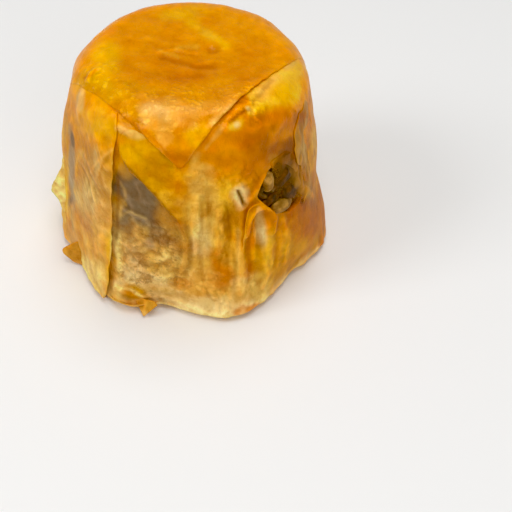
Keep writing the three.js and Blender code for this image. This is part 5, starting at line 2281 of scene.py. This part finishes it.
@dataclass
class WrappedPilaf:
    """The whole part: crust, sheets, loose flakes and filling."""

    view: PictureView = field(default_factory=PictureView)

    def sheets(self, form: DrumForm) -> list[WallSheet]:
        """The wall sheets, with the same sizes as in the solids; their edges are (angle, height)."""
        return [
            WallSheet(
                form, Layer.FRONT, edge=1.2, reach=22, seed=201, closes_below=(33, 46),
                free=((-15, 77), (-19, 78.4), (-23, 79), (-26.5, 78), (-28.8, 75), (-28.8, 70.5), (-26, 67),
                      (-18.5, 61.8), (-11, 56.2), (-4.6, 50.4), (-0.4, 45.6), (2.2, 40), (2.8, 33), (0.4, 26),
                      (-2.5, 19), (-5, 13), (-6.2, 8.6), (0, 7.2), (8, 3.6), (18, 0.6)),
                tucked=((27, 0.6), (25, 30), (24, 60), (20, 81), (-8, 82))),
            WallSheet(
                form, Layer.LEFT_WRAP, edge=2.0, reach=26, seed=202,
                free=((-30.6, 77), (-30, 66), (-29.6, 50), (-29.7, 34), (-29.7, 20), (-30, 10), (-31, 4.5),
                      (-34, 1.2)),
                tucked=((-60, 0.6), (-96, 0.6), (-98, 30), (-97, 74), (-60, 82), (-34, 81))),
            WallSheet(
                form, Layer.RIGHT, edge=0.4, reach=18, seed=203, fray=0.9, closes_below=(34, 52),
                closed_share=0.1,
                free=((70, 73.5), (63, 72), (59, 68.5), (57.6, 64), (56.8, 60), (59.6, 56.6), (61.6, 50),
                      (64, 45.5), (68, 42), (73, 38), (82, 30), (93, 22), (108, 14), (124, 9)),
                tucked=((140, 9), (146, 40), (142, 80), (100, 82), (80, 81))),
            WallSheet(
                form, Layer.ARCH, edge=1.7, reach=9, seed=204, closes_below=(28, 40), closed_share=0.3,
                free=((25.6, 34), (26, 42), (27.4, 47.4), (30, 49.9), (33.4, 50.1), (36.8, 48.4),
                      (39.7, 45.2), (41.4, 40), (40.4, 36.5), (40.8, 29.4), (41.6, 20)),
                tucked=((41, 8), (34, 4), (27, 6), (25.4, 20))),
            WallSheet(
                form, Layer.BACK_LEFT, edge=1.4, reach=28, seed=205,
                free=((-104, 76), (-106, 60), (-105, 44), (-107, 28), (-109, 12), (-111, 2.2)),
                tucked=((-140, 0.6), (-172, 0.6), (-176, 40), (-172, 72), (-140, 82), (-110, 81))),
            WallSheet(
                form, Layer.BACK_RIGHT, edge=1.3, reach=26, seed=206,
                free=((149, 77), (151, 62), (154, 44), (152, 28), (150, 14), (149, 2.2)),
                tucked=((172, 0.6), (196, 0.6), (200, 40), (196, 70), (172, 82), (154, 81))),
        ]

    def flakes(self) -> list[LooseFlake]:
        """The loose pieces at the left; their outlines are (radius, height)."""
        return [
            LooseFlake("left_fin", angle=-72, turn=-40, curl=0.5, seed=301, points=(
                (48, 47), (50.8, 45.6), (52.1, 37.4), (58.2, 26.4), (55.1, 22.2), (53.3, 17.6), (52.6, 9),
                (51, 4), (48, 6))),
            LooseFlake("left_flap", angle=-54, turn=-45, curl=0.9, seed=302, points=(
                (48, 13.5), (52.6, 13.4), (56.2, 9.9), (58.6, 8.2), (57.6, 5.4), (54.2, 2.2), (50.2, 0.4),
                (48, 0.4))),
        ]

    def morsels(self) -> list[MorselKind]:
        """The nuts and the pieces of fruit in the tear."""
        nuts = (Morsel(40.6, 55.4, 5.0, 2.7, 2.4, 98), Morsel(47.8, 42.0, 5.9, 3.0, 2.5, -10))
        fruit = (
            Morsel(49.6, 53.0, 7.0, 5.0, 2.6, 35, -1.2), Morsel(54.0, 45.4, 6.0, 4.6, 2.4, -50, -1.2),
            Morsel(42.2, 46.6, 4.0, 3.0, 2.2, 10, -0.9),
        )
        pale = MorselFinish("pale_nuts", (196, 144, 66), (138, 94, 34), 260, 0.6, 0.05)
        dark = MorselFinish("dark_fruit", (116, 66, 20), (66, 36, 10), 380, 0.6, 0.04, 0.6)
        return [MorselKind("pilaf_nuts", nuts, 0.14, pale), MorselKind("pilaf_fruit", fruit, 0.3, dark)]

    def build(self) -> list[bpy.types.Object]:
        """Builds and dresses every piece, and ties it to the frame.

        Returns:
            The pieces.
        """
        form = DrumForm(self.view, creases=CREASES, crumples=CRUMPLES)
        crust = Crust(form)
        return self.build_pastry(form, crust) + self.build_filling(Filling(crust))

    def build_pastry(self, form: DrumForm, crust: Crust) -> list[bpy.types.Object]:
        """Builds, paints and dresses the pieces of pastry."""
        pastry = [(crust.build(), Layer.CRUST), (TopSheet(form).build(), Layer.CAP)]
        pastry += [(sheet.build(), sheet.layer) for sheet in self.sheets(form)]
        pastry += [(TurnedLip(form).build(), Layer.LIP), (HangingPoint().build(), Layer.FLAKE)]
        pastry += [(flake.build(), Layer.FLAKE) for flake in self.flakes()]
        pastry += [(ThinFilm(form).build(), Layer.FILM)]
        # Paints the pastry's colours together with its painted highlights and painted shade.
        toast_and_shade = ToastAndShadePainter(form)
        baked, film = PastryFinish().make(), FilmFinish().make()
        for piece, layer in pastry:
            toast_and_shade.paint(piece, layer)
            self.dress(piece, film if layer is Layer.FILM else baked, "pastry")
        return [piece for piece, _ in pastry]

    def build_filling(self, filling: Filling) -> list[bpy.types.Object]:
        """Builds and dresses the pieces of the filling."""
        packed = MorselFinish("packed_filling", (112, 70, 26), (62, 37, 13), 420, 0.55, 0.1, 0.6).make()
        rice = MorselFinish("rice_grains", (132, 92, 36), (84, 54, 20), 330, 0.5, 0.1).make()
        inner = [(filling.core(), packed)]
        inner += [(filling.morsels(kind), kind.finish.make()) for kind in self.morsels()]
        inner += [(filling.rice(rice), rice)]
        for piece, finish in inner:
            self.dress(piece, finish, "pilaf")
        return [piece for piece, _ in inner]

    @staticmethod
    def dress(piece: bpy.types.Object, material: bpy.types.Material, node: str) -> None:
        """Gives a piece its material and its body, and hides the solid that it stands for."""
        piece.data.materials.clear()
        piece.data.materials.append(material)
        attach(piece, "root")
        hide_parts(node)
        log.info("%s: %d faces, %s", piece.name, len(piece.data.polygons), material.name)


def main() -> None:
    """Builds the part, the camera and the studio, and logs how many pieces there are."""
    logging.basicConfig(level=logging.INFO, format="%(name)s: %(message)s")
    whole = WrappedPilaf()
    pieces = whole.build()
    whole.view.make_camera()
    Studio().build()
    log.info("%d pieces", len(pieces))


if __name__ == "__main__":
    main()
